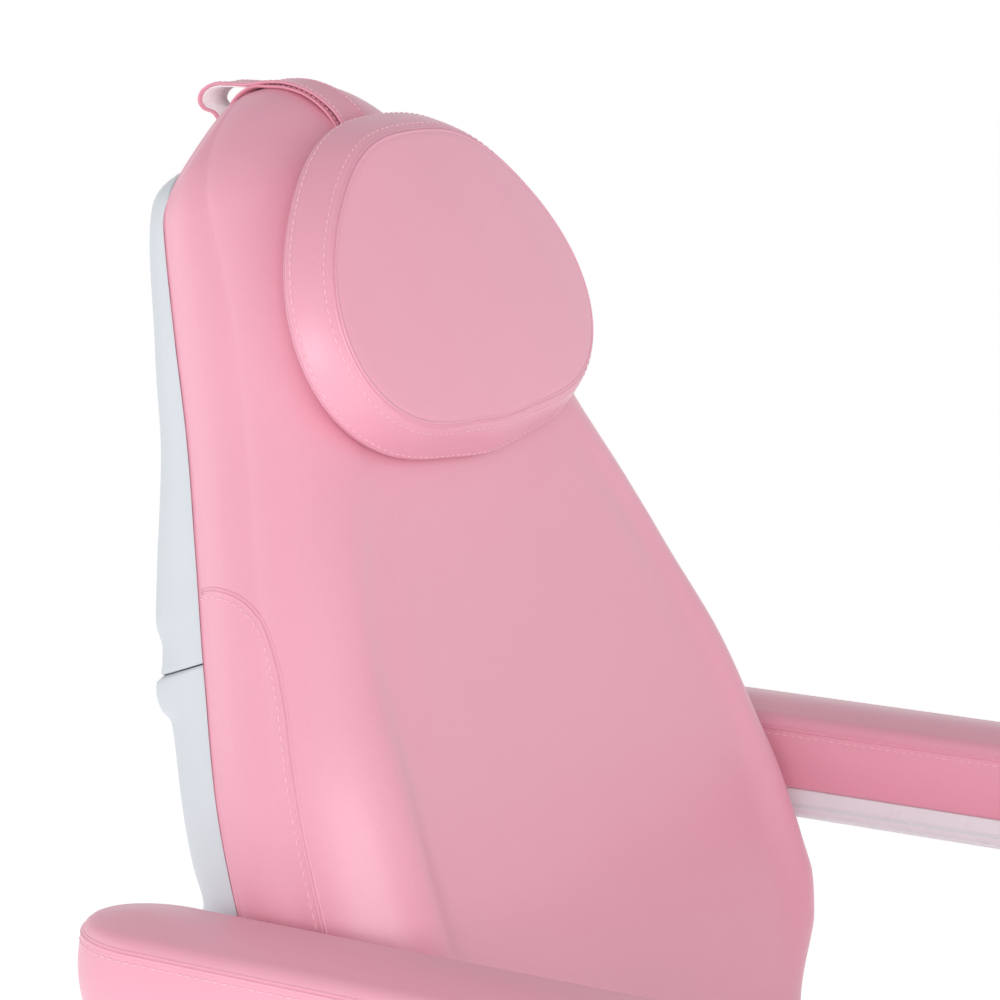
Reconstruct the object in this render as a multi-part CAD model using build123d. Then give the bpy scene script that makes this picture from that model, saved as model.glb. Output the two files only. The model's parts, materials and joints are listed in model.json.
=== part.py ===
from build123d import *
import os
from math import cos, radians, sin

# Electric facial treatment bed.  Millimetres, +Z up, +X is the sitter's left, the sitter faces -Y.
# The origin is on the floor, in the middle of the bed's outer box.

# ---------------------------------------------------------------- driving dimensions
SEAT_TOP = 575.0            # top of the seat cushion above the floor
PAD = 108.0                 # thickness of a cushion with its board
BOARD = 12.0                # plywood under each cushion
BOARD_INSET = 14.0          # board edge inside the cushion edge
GAP = 0.4                   # running clearance between soft parts
TUBE = 25.0                 # square frame tube
TUBE_WALL = 1.5
SHELL = 3.0                 # wall of a moulded cover

BACK_AXIS = (307.0, 500.0)  # Y and Z of the back hinge
BACK_ANGLE = 68.9           # back above the horizontal, as it stands
BACK_FRONT = SEAT_TOP - BACK_AXIS[1]      # sitting side of the back, above its hinge when flat
BACK_REAR = BACK_FRONT - PAD
BACK_FOOT = 20.0            # lower end of the back cushion, along the back from its hinge
BACK_LENGTH = 876.0         # upper end of the back cushion
# Corners of one side of the back: half width, distance from the hinge, rounding
BACK_SIDE = [(104, 876, 60), (176, 660, 300), (296, 372, 200), (306, 150, 90), (190, 20, 25)]
SHELL_DEPTH = 62.0          # depth of the back shells behind the cushion
SHELL_SPLIT = 498.0         # joint between the two back shells
# Screws of the back shells: place across and distance from the hinge
SHELL_SCREWS = ((55, 800), (95, 560), (150, 440), (210, 250), (190, 110))

SEAT_HALF = 300.0
SEAT_REAR = BACK_AXIS[0] - 66.0
SEAT_FRONT = SEAT_REAR - 500.0
SEAT_BASE = SEAT_TOP - PAD

LEG_AXIS = (SEAT_FRONT - 12.0, SEAT_BASE - 14.0)
LEG_ANGLE = 45.0            # leg rest below the horizontal, as it stands
LEG_LENGTH = 500.0
LEG_TOP = SEAT_TOP - LEG_AXIS[1]
LEG_BASE = LEG_TOP - PAD

ARM_TOP = 800.0
ARM_INNER = 310.0
ARM_WIDTH = 85.7
ARM_PAD = 61.7
ARM_RAIL = 27.0
ARM_REAR = BACK_AXIS[0] + 238.0
ARM_LENGTH = 526.0
ARM_AXIS = (BACK_AXIS[0] + 55.0, 688.0)

COLUMN_Y = BACK_AXIS[0] - 285.0
HEAD_Z = 345.0              # underside of the lift head at its lowest
BASE_LENGTH = 900.0
BASE_HALF = 270.0
BASE_LOW = 24.0

ARM_X = 211.0               # inner face of a hinge arm
HINGE_ARM = 10.0            # thickness of the arms that swing
PLATE_X = 222.0             # inner face of a hinge plate on the seat
PLATE = 8.0
RAIL_X = PLATE_X + PLATE + TUBE / 2
PIN = 6.0                   # hinge pin radius
PIN_HOLE = 6.06

# Linear actuators: anchor and rod end from the hinge (Y, Z), and the radius of the rod end's free hole
BACK_ANCHOR = (-206.3, -95.6)
LEG_ANCHOR = (187.1, -55.7)
LEVER = 70.0
BACK_LEVER_ANGLE = -80.0    # of the lever when the back is flat
LEG_LEVER_ANGLE = -156.4
BACK_FREE_HOLE = 13.0
LEG_FREE_HOLE = 10.0
ACTUATOR_ROOM = 57.0        # half width of the way through the skirt for both actuators
MOTOR_ASIDE = 34.0          # motor's axis beside the actuator's axis

PILLOW_RADII = (137.9, 7.4, -30.2, 6.9, 3.1, -3.7)   # cosine series of the pillow's outline
PILLOW_AT = 684.8           # pillow's middle, along the back from its hinge
PILLOW_THICK = 34.6
STRAP = 42.0                # width of the pillow straps

NODES = {}


def keep(name, *solids):
    """Stores one node; several solids are identical loose pieces."""
    NODES[name] = solids[0] if len(solids) == 1 else Compound(children=list(solids))


# ---------------------------------------------------------------- shape helpers
def block(x0, x1, y0, y1, z0, z1):
    """A box between two corners."""
    return Pos((x0 + x1) / 2, (y0 + y1) / 2, (z0 + z1) / 2) * Box(x1 - x0, y1 - y0, z1 - z0)


def rod(start, end, radius, bore=0.0):
    """A round bar or tube from one point to another."""
    start, end = Vector(*start), Vector(*end)
    along = Plane(origin=start, z_dir=end - start)
    low = (Align.CENTER, Align.CENTER, Align.MIN)
    bar = Cylinder(radius, (end - start).length, align=low)
    if bore:
        bar -= Cylinder(bore, (end - start).length, align=low)
    return along * bar


def tube(x0, x1, y0, y1, z0, z1, wall=TUBE_WALL):
    """A rectangular tube, open at both ends of its longest side."""
    sides = (x1 - x0, y1 - y0, z1 - z0)
    cut = [0.0 if side == max(sides) else wall for side in sides]
    inner = block(x0 + cut[0], x1 - cut[0], y0 + cut[1], y1 - cut[1], z0 + cut[2], z1 - cut[2])
    return block(x0, x1, y0, y1, z0, z1) - inner


def sleeve(half_x, half_y, z0, z1, wall, corner):
    """An upright rectangular sleeve about the column."""
    outer = RectangleRounded(2 * half_x, 2 * half_y, corner)
    inner = RectangleRounded(2 * (half_x - wall), 2 * (half_y - wall), max(corner - wall, 1.0))
    return Pos(0, COLUMN_Y, z0) * extrude(outer - inner, z1 - z0)


def link(x0, x1, first, first_radius, second, second_radius, bore=0.0, second_bore=0.0):
    """A flat link across X between two round eyes, each given as (Y, Z)."""
    side = Plane(origin=(x0, 0, 0), x_dir=(0, 1, 0), z_dir=(1, 0, 0))
    ends = [Pos(*first) * Circle(first_radius), Pos(*second) * Circle(second_radius)]
    face = make_hull([edge for end in ends for edge in end.edges()])
    if bore:
        face -= Pos(*first) * Circle(bore)
    if second_bore:
        face -= Pos(*second) * Circle(second_bore)
    return extrude(side * face, x1 - x0)


def both(shape):
    """A shape and its mirror image across the middle plane."""
    return shape, mirror(shape, Plane.YZ)


def turned(angle, radius):
    """Y and Z of a point at an angle and distance from a hinge."""
    return radius * cos(radians(angle)), radius * sin(radians(angle))


def rounded(shape, face_z, radius):
    """Rounds the edges of a shape's flat face at one height."""
    edges = [edge for edge in shape.edges() if abs(edge.bounding_box().max.Z - face_z) < 0.01
             and abs(edge.bounding_box().min.Z - face_z) < 0.01]
    return fillet(edges, radius)


def tray(face, inner_face, low, high, edge, wall=SHELL):
    """A shallow moulded cover below a face: open at the top, with a rounded lower edge."""
    outer = rounded(Pos(0, 0, low) * extrude(face, high - low), low, edge)
    core = Pos(0, 0, low + wall) * extrude(inner_face, high - low)
    return outer - rounded(core, low + wall, edge - wall)


def back_outline(inset):
    """Outline of the back, flat, with its edges brought in by an inset."""
    right = [(half, along) for half, along, _ in BACK_SIDE]
    left = [(-half, along) for half, along in reversed(right)]
    bends = [bend for _, _, bend in BACK_SIDE]
    face = make_face(FilletPolyline(*right, *left, radius=bends + bends[::-1], close=True))
    return offset(face, -inset) if inset else face


def plate(length, width, corner, y, inset=0.0):
    """Rounded rectangle about the middle plane, its edges brought in by an inset."""
    corner = max(corner - inset, 1.0)
    return Pos(0, y) * RectangleRounded(width - 2 * inset, length - 2 * inset, corner)


# ---------------------------------------------------------------- base and lift column
def make_base():
    """Feet, frame, cover and mains inlet that stand on the floor."""
    rear, front = COLUMN_Y + BASE_LENGTH / 2, COLUMN_Y - BASE_LENGTH / 2
    corners = [(x, y) for x in (-205, 205) for y in (front + 60, rear - 60)]
    keep("foot_pads", *[Pos(x, y, 6) * Cylinder(26, 12) for x, y in corners])
    nut = extrude(RegularPolygon(9, 6), 7)
    keep("foot_studs", *[rod((x, y, 12), (x, y, 62), 5) + Pos(x, y, 20) * nut for x, y in corners])
    bores = [Pos(x, y, 45) * Cylinder(5, 60) for x, y in corners]
    sides = [tube(x - 30, x + 30, front + 20, rear - 20, 28, 58, 2) for x in (-205, 205)]
    stations = (-330, -110, 110, 330)
    crosses = [tube(-175, 175, COLUMN_Y + y - 30, COLUMN_Y + y + 30, 28, 58, 2) for y in stations]
    column_foot = block(-130, 130, COLUMN_Y - 140, COLUMN_Y + 140, 58, 66)
    keep("base_frame", *[side - bores for side in sides], *crosses, column_foot)
    outlines = [plate(BASE_LENGTH, 2 * BASE_HALF, 70, COLUMN_Y, inset) for inset in (0, SHELL)]
    cover = mirror(tray(*outlines, -84, -BASE_LOW, 22), Plane.XY)
    window = block(-146, 146, COLUMN_Y - 126, COLUMN_Y + 126, 60, 100)
    inlet = block(-24, 24, rear - 30, rear + 10, 34, 58)
    keep("base_cover", cover - window - inlet)
    socket = block(-23.6, 23.6, rear - 22, rear + 3, 34.4, 57.6) + block(-30, 30, rear, rear + 3, 30, 62)
    hollow = block(-12, 12, rear - 18, rear + 4, 38, 54)
    keep("mains_inlet", socket - hollow)


def make_column():
    """Three-part steel column, its glides, drive and the three outer shrouds."""
    keep("column_outer", sleeve(75, 75, 66, 320, 4, 8))
    keep("column_middle", sleeve(65, 65, 72, 330, 4, 8))
    keep("column_inner", sleeve(55, 55, 80, HEAD_Z, 4, 8))
    for name, half, top in (("outer_glides", 71, 316), ("middle_glides", 61, 326)):
        strips = [block(-30, 30, COLUMN_Y + half - 5.6, COLUMN_Y + half, top - 60, top),
                  block(-30, 30, COLUMN_Y - half, COLUMN_Y - half + 5.6, top - 60, top),
                  block(half - 5.6, half, COLUMN_Y - 30, COLUMN_Y + 30, top - 60, top),
                  block(-half, -half + 5.6, COLUMN_Y - 30, COLUMN_Y + 30, top - 60, top)]
        keep(name, *strips)
    motor = block(-38, 38, COLUMN_Y - 38, COLUMN_Y + 38, 66, 78)
    keep("lift_drive_tube", motor + rod((0, COLUMN_Y, 78), (0, COLUMN_Y, 290), 22, 18.5))
    keep("lift_drive_stage", rod((0, COLUMN_Y, 90), (0, COLUMN_Y, 300), 18, 13.5))
    keep("lift_drive_rod", rod((0, COLUMN_Y, 95), (0, COLUMN_Y, HEAD_Z), 13))
    keep("shroud_lower", sleeve(142, 122, 84, 310, SHELL, 26))
    keep("shroud_middle", sleeve(136, 116, 88, 322, SHELL, 22))
    keep("shroud_upper", sleeve(130, 110, 92, HEAD_Z, SHELL, 18))


# ---------------------------------------------------------------- seat
def make_seat():
    """Lift head, seat frame, cushion, board, skirt and the brackets that the seat carries."""
    top = block(-170, 170, COLUMN_Y - 150, COLUMN_Y + 150, HEAD_Z, HEAD_Z + 10)
    cheeks = [block(x - 4, x + 4, COLUMN_Y - 150, COLUMN_Y + 150, HEAD_Z + 10, SEAT_BASE - TUBE)
              for x in (-150, 150)]
    keep("lift_head", top + cheeks)
    low = SEAT_BASE - TUBE
    rails = [tube(x - TUBE / 2, x + TUBE / 2, SEAT_FRONT + 14, SEAT_REAR + 10, low, SEAT_BASE)
             for x in (-RAIL_X, RAIL_X)]
    spots = (BACK_AXIS[0] + BACK_ANCHOR[0], LEG_AXIS[0] + LEG_ANCHOR[0], SEAT_FRONT + 45)
    inner = RAIL_X - TUBE / 2
    crosses = [tube(-inner, inner, y - TUBE / 2, y + TUBE / 2, low, SEAT_BASE) for y in spots]
    keep("seat_frame", *rails, *crosses)
    size = (SEAT_REAR - SEAT_FRONT, 2 * SEAT_HALF, 45, (SEAT_REAR + SEAT_FRONT) / 2)
    board = Pos(0, 0, SEAT_BASE) * extrude(plate(*size, BOARD_INSET), BOARD)
    cushion = rounded(Pos(0, 0, SEAT_BASE) * extrude(plate(*size), PAD), SEAT_TOP, 25)
    keep("seat_board", board)
    keep("seat_cushion", cushion - board)
    skirt = tray(plate(*size, 3), plate(*size, 3 + SHELL), SEAT_BASE - 58, SEAT_BASE - GAP, 26)
    window = block(-205, 205, SEAT_FRONT + 60, SEAT_REAR - 60, 390, 420)
    notch = block(-ACTUATOR_ROOM, ACTUATOR_ROOM, SEAT_FRONT - 5, SEAT_REAR + 5, 390, SEAT_BASE)
    side_y = BACK_AXIS[0] - 150
    arms = block(-400, 400, side_y - 16, side_y + 16, low - 0.4, SEAT_BASE)
    ends = [block(x - 27, x + 27, SEAT_FRONT - 5, SEAT_REAR + 5, low - 6, SEAT_BASE)
            for x in (-RAIL_X + 10, RAIL_X - 10)]
    keep("seat_skirt", skirt - window - notch - arms - ends)
    rear_eye, front_eye = BACK_AXIS, LEG_AXIS
    sides = (PLATE_X, PLATE_X + PLATE)
    rear = link(*sides, (SEAT_REAR + 4, low + 11), 11, rear_eye, 15, 0, PIN)
    front = link(*sides, (SEAT_FRONT + 20, low + 11), 11, front_eye, 12, 0, PIN)
    keep("seat_hinge_plates", *both(rear), *both(front))
    pins = []
    for eye in (rear_eye, front_eye):
        pin = rod((ARM_X - 4, *eye), (PLATE_X + PLATE + 4, *eye), PIN)
        pins += both(pin + rod((PLATE_X + PLATE, *eye), (PLATE_X + PLATE + 4, *eye), 10))
    keep("hinge_pins", *pins)
    keep("control_box", block(48, 138, COLUMN_Y - 60, COLUMN_Y + 60, HEAD_Z + 10, HEAD_Z + 52))


def make_back():
    """Cushion, board, frame and shells of the back, built flat from the hinge and then raised."""
    raised = Pos(0, *BACK_AXIS) * Rot(BACK_ANGLE, 0, 0)
    outline = back_outline(0)
    inset = back_outline(BOARD_INSET)
    board = Pos(0, 0, BACK_REAR) * extrude(inset, BOARD)
    cushion = rounded(Pos(0, 0, BACK_REAR) * extrude(outline, PAD), BACK_FRONT, 28)
    keep("back_board", raised * board)
    keep("back_cushion", raised * (cushion - board))
    high, low = BACK_REAR, BACK_REAR - TUBE
    rails = [tube(x - TUBE / 2, x + TUBE / 2, 47.5, 820, low, high) for x in (-78, 78)]
    crosses = [tube(-65.5, 65.5, y - TUBE / 2, y + TUBE / 2, low, high) for y in (60, 320, 560, 790)]
    wings = both(tube(90.5, ARM_X, 60 - TUBE / 2, 60 + TUBE / 2, low, high))
    keep("back_frame", *[raised * bar for bar in (*rails, *crosses, *wings)])
    knee = (26, low + 6)
    arm = link(ARM_X, ARM_X + HINGE_ARM, (0, 0), 15, knee, 11)
    arm += link(ARM_X, ARM_X + HINGE_ARM, knee, 11, (60, low + 12), 12)
    arm -= rod((ARM_X - 1, 0, 0), (ARM_X + HINGE_ARM + 1, 0, 0), PIN_HOLE)
    keep("back_hinge_arms", *[raised * piece for piece in both(arm)])
    spot = turned(BACK_LEVER_ANGLE, LEVER)
    lever = link(13, 19, (58, low + 12.5), 12, spot, 12, 0, PIN)
    crossbar = block(-30, 30, 60 - TUBE / 2, 60 + TUBE / 2, low, high)
    keep("back_lever", *[raised * (plate_side - crossbar) for plate_side in both(lever)])
    keep("back_lever_pin", raised * rod((-22, *spot), (22, *spot), PIN))
    make_back_shells(raised)
    make_pillow(raised)


def make_back_shells(raised):
    """Upper and lower moulded covers behind the back."""
    low, high = BACK_REAR - SHELL_DEPTH, BACK_REAR - GAP
    whole = tray(back_outline(0), back_outline(SHELL), low, high, 30)
    upper = whole - block(-400, 400, -50, SHELL_SPLIT + 2, low - 5, high + 5)
    lower = whole - block(-400, 400, SHELL_SPLIT - 2, 1000, low - 5, high + 5)
    lower -= block(-320, 320, -50, BACK_FOOT + 60, low - 5, high + 5)
    keep("back_shell_upper", raised * upper)
    keep("back_shell_lower", raised * lower)
    screw = Pos(0, 0, low - 1.5) * Cylinder(5, 3) + Pos(0, 0, low + 8) * Cylinder(2, 20)
    screws = [raised * Pos(sign * x, y, 0) * screw for x, y in SHELL_SCREWS for sign in (-1, 1)]
    keep("back_shell_screws", *screws)
    NODES["back_shell_upper"] -= screws
    NODES["back_shell_lower"] -= screws


def make_pillow(raised):
    """Head pillow that slides along the back, and the two straps over the top of the back."""
    outline = []
    for step in range(24):
        angle = radians(15 * step)
        radius = sum(size * cos(order * angle) for order, size in enumerate(PILLOW_RADII))
        outline.append((radius * sin(angle), PILLOW_AT + radius * cos(angle)))
    face = make_face(Spline(*outline, periodic=True))
    low = BACK_FRONT + GAP
    pillow = Pos(0, 0, low) * extrude(face, PILLOW_THICK)
    keep("head_pillow", raised * rounded(pillow, low + PILLOW_THICK, 12))
    crest, rear = BACK_LENGTH + 1.8, BACK_REAR - SHELL_DEPTH - 1.8
    under = [(822, BACK_FRONT + 1.8), (crest, BACK_FRONT + 1.8), (crest, rear), (795, rear)]
    over = [(822, BACK_FRONT + 5), (BACK_LENGTH + 5, BACK_FRONT + 5), (BACK_LENGTH + 5, -45),
            (BACK_LENGTH + 28, -62), (BACK_LENGTH + 12, -84)]
    for name, route, bends in (("strap_under", under, (29.8, 31.8)), ("strap_over", over, (31, 22, 9))):
        path = FilletPolyline(*route, radius=list(bends))
        band = trace(path, line_width=2.4)
        side = Plane(origin=(-STRAP / 2, 0, 0), x_dir=(0, 1, 0), z_dir=(1, 0, 0))
        keep(name, raised * extrude(side * band, STRAP))


# ---------------------------------------------------------------- leg rest
def make_leg():
    """Leg rest, built flat from its hinge towards the feet and then lowered."""
    lowered = Pos(0, *LEG_AXIS) * Rot(LEG_ANGLE, 0, 0)
    top, foot = -8.0, -8.0 - LEG_LENGTH
    size = (LEG_LENGTH, 2 * SEAT_HALF - 20, 60, (top + foot) / 2)
    board = Pos(0, 0, LEG_BASE) * extrude(plate(*size, BOARD_INSET), BOARD)
    cushion = rounded(Pos(0, 0, LEG_BASE) * extrude(plate(*size), PAD), LEG_TOP, 25)
    keep("leg_board", lowered * board)
    keep("leg_cushion", lowered * (cushion - board))
    low = LEG_BASE - TUBE
    rails = [tube(x - TUBE / 2, x + TUBE / 2, foot + 60, -26, low, LEG_BASE) for x in (-170, 170)]
    crosses = [tube(-157.5, 157.5, y - TUBE / 2, y + TUBE / 2, low, LEG_BASE) for y in (-64, foot + 80)]
    wings = both(tube(182.5, ARM_X, -64 - TUBE / 2, -64 + TUBE / 2, low, LEG_BASE))
    keep("leg_frame", *[lowered * bar for bar in (*rails, *crosses, *wings)])
    arm = link(ARM_X, ARM_X + HINGE_ARM, (0, 0), 12, (-64, low + 12.5), 12, PIN_HOLE)
    keep("leg_hinge_arms", *[lowered * piece for piece in both(arm)])
    spot = turned(LEG_LEVER_ANGLE, LEVER)
    lever = link(13, 19, (-64, low - 6), 12, spot, 11, 0, PIN) - block(-30, 30, -90, -40, low, LEG_BASE)
    keep("leg_lever", *[lowered * piece for piece in both(lever)])
    keep("leg_lever_pin", lowered * rod((-22, *spot), (22, *spot), PIN))
    shell = tray(plate(*size, 3), plate(*size, 3 + SHELL), LEG_BASE - 48, LEG_BASE - GAP, 24)
    hinge_side = block(-240, 240, -90, 5, -80, LEG_BASE)
    keep("leg_shell", lowered * (shell - hinge_side))


# ---------------------------------------------------------------- armrests
def make_armrest(side, sign):
    """Pad, rail, clevis, pin and post of one armrest."""
    middle = sign * (ARM_INNER + ARM_WIDTH / 2)
    y = ARM_REAR - ARM_LENGTH / 2
    pad_low = ARM_TOP - ARM_PAD
    stadium = Pos(middle, y) * Rot(0, 0, 90) * SlotOverall(ARM_LENGTH, ARM_WIDTH)
    pad = rounded(Pos(0, 0, pad_low) * extrude(stadium, ARM_PAD), ARM_TOP, 11)
    keep(f"armrest_pad_{side}", pad)
    plan = Pos(middle, y) * Rot(0, 0, 90) * SlotOverall(ARM_LENGTH - 8, ARM_WIDTH - 8)
    rail_low = pad_low - ARM_RAIL
    rail = Pos(0, 0, rail_low) * extrude(plan, ARM_RAIL)
    edges = [edge for edge in rail.edges() if edge.bounding_box().max.Z < rail_low + 0.01]
    keep(f"armrest_rail_{side}", chamfer(edges, 9))
    cheeks = [block(middle - 17, middle - 12, ARM_AXIS[0] - 14, ARM_AXIS[0] + 14, ARM_AXIS[1], rail_low),
              block(middle + 12, middle + 17, ARM_AXIS[0] - 14, ARM_AXIS[0] + 14, ARM_AXIS[1], rail_low)]
    eyes = [rod((middle + x, *ARM_AXIS), (middle + x + 5, *ARM_AXIS), 14) for x in (-17, 12)]
    bore = rod((middle - 30, *ARM_AXIS), (middle + 30, *ARM_AXIS), 5)
    bridge = block(middle - 17, middle + 17, ARM_AXIS[0] - 14, ARM_AXIS[0] + 14, rail_low - 4, rail_low)
    keep(f"armrest_clevis_{side}", bridge + cheeks + eyes - bore)
    keep(f"armrest_pin_{side}", rod((middle - 20, *ARM_AXIS), (middle + 20, *ARM_AXIS), 5))
    low, high = SEAT_BASE - TUBE, SEAT_BASE
    start = BACK_AXIS[0] - 150
    inner, outer = sorted((sign * (RAIL_X + TUBE / 2), middle + sign * 11.5))
    reach = block(inner, outer, start - 15, start + 15, low, high)
    run = block(middle - 11.5, middle + 11.5, start - 15, ARM_AXIS[0] + 13, low, high)
    upright = block(middle - 11.5, middle + 11.5, ARM_AXIS[0] - 13, ARM_AXIS[0] + 13, low, ARM_AXIS[1])
    eye = rod((middle - 11.5, *ARM_AXIS), (middle + 11.5, *ARM_AXIS), 13)
    hole = rod((middle - 12, *ARM_AXIS), (middle + 12, *ARM_AXIS), 5.06)
    keep(f"armrest_post_{side}", reach + run + upright + eye - hole)


# ---------------------------------------------------------------- linear actuators
def make_actuator(name, hinge, anchor, lever_angle, free_hole, sleeve_end, stem_start):
    """Motor body that swings on its anchor pin, and a rod whose end sits round the lever's pin."""
    foot = Vector(0, hinge[0] + anchor[0], hinge[1] + anchor[1])
    spot = turned(lever_angle, LEVER)
    end = Vector(0, hinge[0] + spot[0], hinge[1] + spot[1])
    along = (end - foot).normalized()
    beside = Vector(MOTOR_ASIDE, 0, 0)
    case = rod((-9, foot.Y, foot.Z), (9, foot.Y, foot.Z), 15) + rod(foot, foot + along * 30, 8.5)
    case += rod(foot + along * 19, foot + along * 62, 18)
    case += rod(foot + along * 50, foot + along * sleeve_end, 15)
    case += rod(foot + beside + along * 20, foot + beside + along * 128, 16.5)
    case += rod(foot + along * 42, foot + along * 42 + beside, 12)
    bore = rod(foot + along * 30, foot + along * (sleeve_end + 1), 9)
    hole = rod((-30, foot.Y, foot.Z), (30, foot.Y, foot.Z), PIN_HOLE)
    keep(f"{name}_actuator_body", case - bore - hole)
    eye = rod((-9, end.Y, end.Z), (9, end.Y, end.Z), free_hole + 6)
    stem = rod(foot + along * stem_start, end - along * (free_hole + 2), 8)
    free = rod((-12, end.Y, end.Z), (12, end.Y, end.Z), free_hole)
    keep(f"{name}_actuator_rod", stem + eye - free)
    low = SEAT_BASE - TUBE
    cheek = link(11, 16, (foot.Y, low - 5), 12, (foot.Y, foot.Z), 12, 0, PIN)
    cheek -= block(-60, 60, foot.Y - 40, foot.Y + 40, low, low + 40)
    return both(cheek), rod((-20, foot.Y, foot.Z), (20, foot.Y, foot.Z), PIN)


make_base()
make_column()
make_seat()
make_back()
make_leg()
for arm_side, arm_sign in (("left", 1), ("right", -1)):
    make_armrest(arm_side, arm_sign)
back_cheeks, back_pin = make_actuator(
    "back", BACK_AXIS, BACK_ANCHOR, BACK_LEVER_ANGLE + BACK_ANGLE, BACK_FREE_HOLE, 190, 98)
leg_cheeks, leg_pin = make_actuator(
    "leg", LEG_AXIS, LEG_ANCHOR, LEG_LEVER_ANGLE + LEG_ANGLE, LEG_FREE_HOLE, 170, 44)
keep("actuator_anchor_plates", *back_cheeks, *leg_cheeks)
keep("actuator_anchor_pins", back_pin, leg_pin)

os.makedirs("parts", exist_ok=True)
for node, shape in NODES.items():
    export_step(shape, f"parts/{node}.step")
print(len(NODES), "nodes")
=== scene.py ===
"""Looks of an electric facial treatment bed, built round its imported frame.

Lengths are in metres. The bed's head end is towards +y and its foot end towards -y.
"""
import json
import logging
import math
from dataclasses import dataclass, field
from enum import Enum
from typing import Callable, Iterable, Sequence

import bmesh
import bpy
import numpy as np
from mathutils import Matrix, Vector
from mathutils.bvhtree import BVHTree


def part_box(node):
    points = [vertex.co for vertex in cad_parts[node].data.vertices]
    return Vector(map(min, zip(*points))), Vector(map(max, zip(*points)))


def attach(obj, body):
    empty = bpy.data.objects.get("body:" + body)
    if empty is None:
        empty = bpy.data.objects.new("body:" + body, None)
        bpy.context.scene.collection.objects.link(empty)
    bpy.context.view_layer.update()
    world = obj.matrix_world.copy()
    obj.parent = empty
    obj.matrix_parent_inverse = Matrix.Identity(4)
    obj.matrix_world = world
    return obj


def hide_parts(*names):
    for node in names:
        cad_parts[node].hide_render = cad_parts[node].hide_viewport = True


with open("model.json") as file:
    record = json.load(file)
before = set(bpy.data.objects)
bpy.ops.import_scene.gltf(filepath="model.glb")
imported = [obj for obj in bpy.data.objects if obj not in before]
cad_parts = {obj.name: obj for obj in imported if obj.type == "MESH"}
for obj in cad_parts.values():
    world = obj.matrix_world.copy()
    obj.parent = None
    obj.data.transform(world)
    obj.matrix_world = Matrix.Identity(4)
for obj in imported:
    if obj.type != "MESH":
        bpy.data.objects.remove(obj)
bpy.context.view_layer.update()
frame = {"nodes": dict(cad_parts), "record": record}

LOG = logging.getLogger("treatment_bed")
Point = tuple[float, float]
Relief = Callable[[np.ndarray, np.ndarray], np.ndarray]


# ------------------------------------------------------------------ places that the frame gives
@dataclass(frozen=True)
class Slope:
    """A flat working plane that turns about a hinge line across the bed.

    Attributes:
        y: Hinge line's place along the bed.
        z: Hinge line's height.
        degrees: Angle of the plane above the horizontal.
    """

    y: float
    z: float
    degrees: float

    def place(self, x: float, along: float, height: float) -> Vector:
        """Puts a point of the plane in the bed.

        Args:
            x: Place across the bed.
            along: Distance from the hinge line, in the plane.
            height: Distance above the plane.

        Returns:
            The point in the bed's frame.
        """
        cos, sin = math.cos(math.radians(self.degrees)), math.sin(math.radians(self.degrees))
        return Vector((x, self.y + along * cos - height * sin, self.z + along * sin + height * cos))


JOINTS = {joint["name"]: joint for joint in frame["record"]["behaviour"]["joints"]}
# Each slope: its hinge line, and its angle at rest in degrees.
BACK_SLOPE = Slope(*JOINTS["back_recline"]["pos_m"][1:], 68.9)
LEG_SLOPE = Slope(*JOINTS["leg_raise"]["pos_m"][1:], 45.0)
SEAT_LOW, SEAT_HIGH = (Vector(corner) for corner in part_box("seat_cushion"))
SEAT_SLOPE = Slope((SEAT_LOW.y + SEAT_HIGH.y) / 2, SEAT_LOW.z, 0.0)


# ------------------------------------------------------------------ numeric helpers
def smooth_line(points: Sequence[Point]) -> Callable[[np.ndarray], np.ndarray]:
    """Makes a smooth curve through points that never overshoots them.

    Args:
        points: Pairs of place and value, in rising order of place.

    Returns:
        A function from places to values.
    """
    xs, ys = (np.array(axis, float) for axis in zip(*points))
    steps = np.diff(xs)
    slopes = np.diff(ys) / steps
    tangents = np.zeros_like(ys)
    same = slopes[:-1] * slopes[1:] > 0
    tangents[1:-1][same] = 2 / (1 / slopes[:-1][same] + 1 / slopes[1:][same])
    tangents[0], tangents[-1] = slopes[0], slopes[-1]

    def value(at: np.ndarray) -> np.ndarray:
        """Reads the curve, held level past its ends."""
        at = np.clip(np.asarray(at, float), xs[0], xs[-1])
        left = np.clip(np.searchsorted(xs, at, side="right") - 1, 0, len(xs) - 2)
        t = (at - xs[left]) / steps[left]
        rise = (3 - 2 * t) * t * t
        start, end = tangents[left], tangents[left + 1]
        bend = steps[left] * (start * t * (1 - t) ** 2 + end * (t - 1) * t * t)
        return ys[left] * (1 - rise) + ys[left + 1] * rise + bend

    return value


def ease(value: np.ndarray, start: float, end: float) -> np.ndarray:
    """Rises smoothly from 0 at start to 1 at end."""
    t = np.clip((value - start) / (end - start), 0, 1)
    return t * t * (3 - 2 * t)


def hump(value: np.ndarray, middle: np.ndarray | float, width: float) -> np.ndarray:
    """A bell of height 1 about a middle."""
    return np.exp(-(((value - middle) / width) ** 2))


# ------------------------------------------------------------------ mesh helpers
def make_piece(name: str, vertices: Iterable, faces: Iterable,
               smooth: bool = True) -> bpy.types.Object:
    """Makes an object at the origin from vertices and faces.

    Args:
        name: Name of the piece.
        vertices: Points in the bed's frame.
        faces: Tuples of vertex numbers, counted anticlockwise from outside.
        smooth: Whether the faces are shaded smooth.

    Returns:
        The new object, linked to the scene.
    """
    mesh = bpy.data.meshes.new(name)
    mesh.from_pydata([tuple(vertex) for vertex in vertices], [], [tuple(face) for face in faces])
    mesh.validate()
    piece = bpy.data.objects.new(name, mesh)
    bpy.context.scene.collection.objects.link(piece)
    if smooth:
        mesh.shade_smooth()
    return piece


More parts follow.
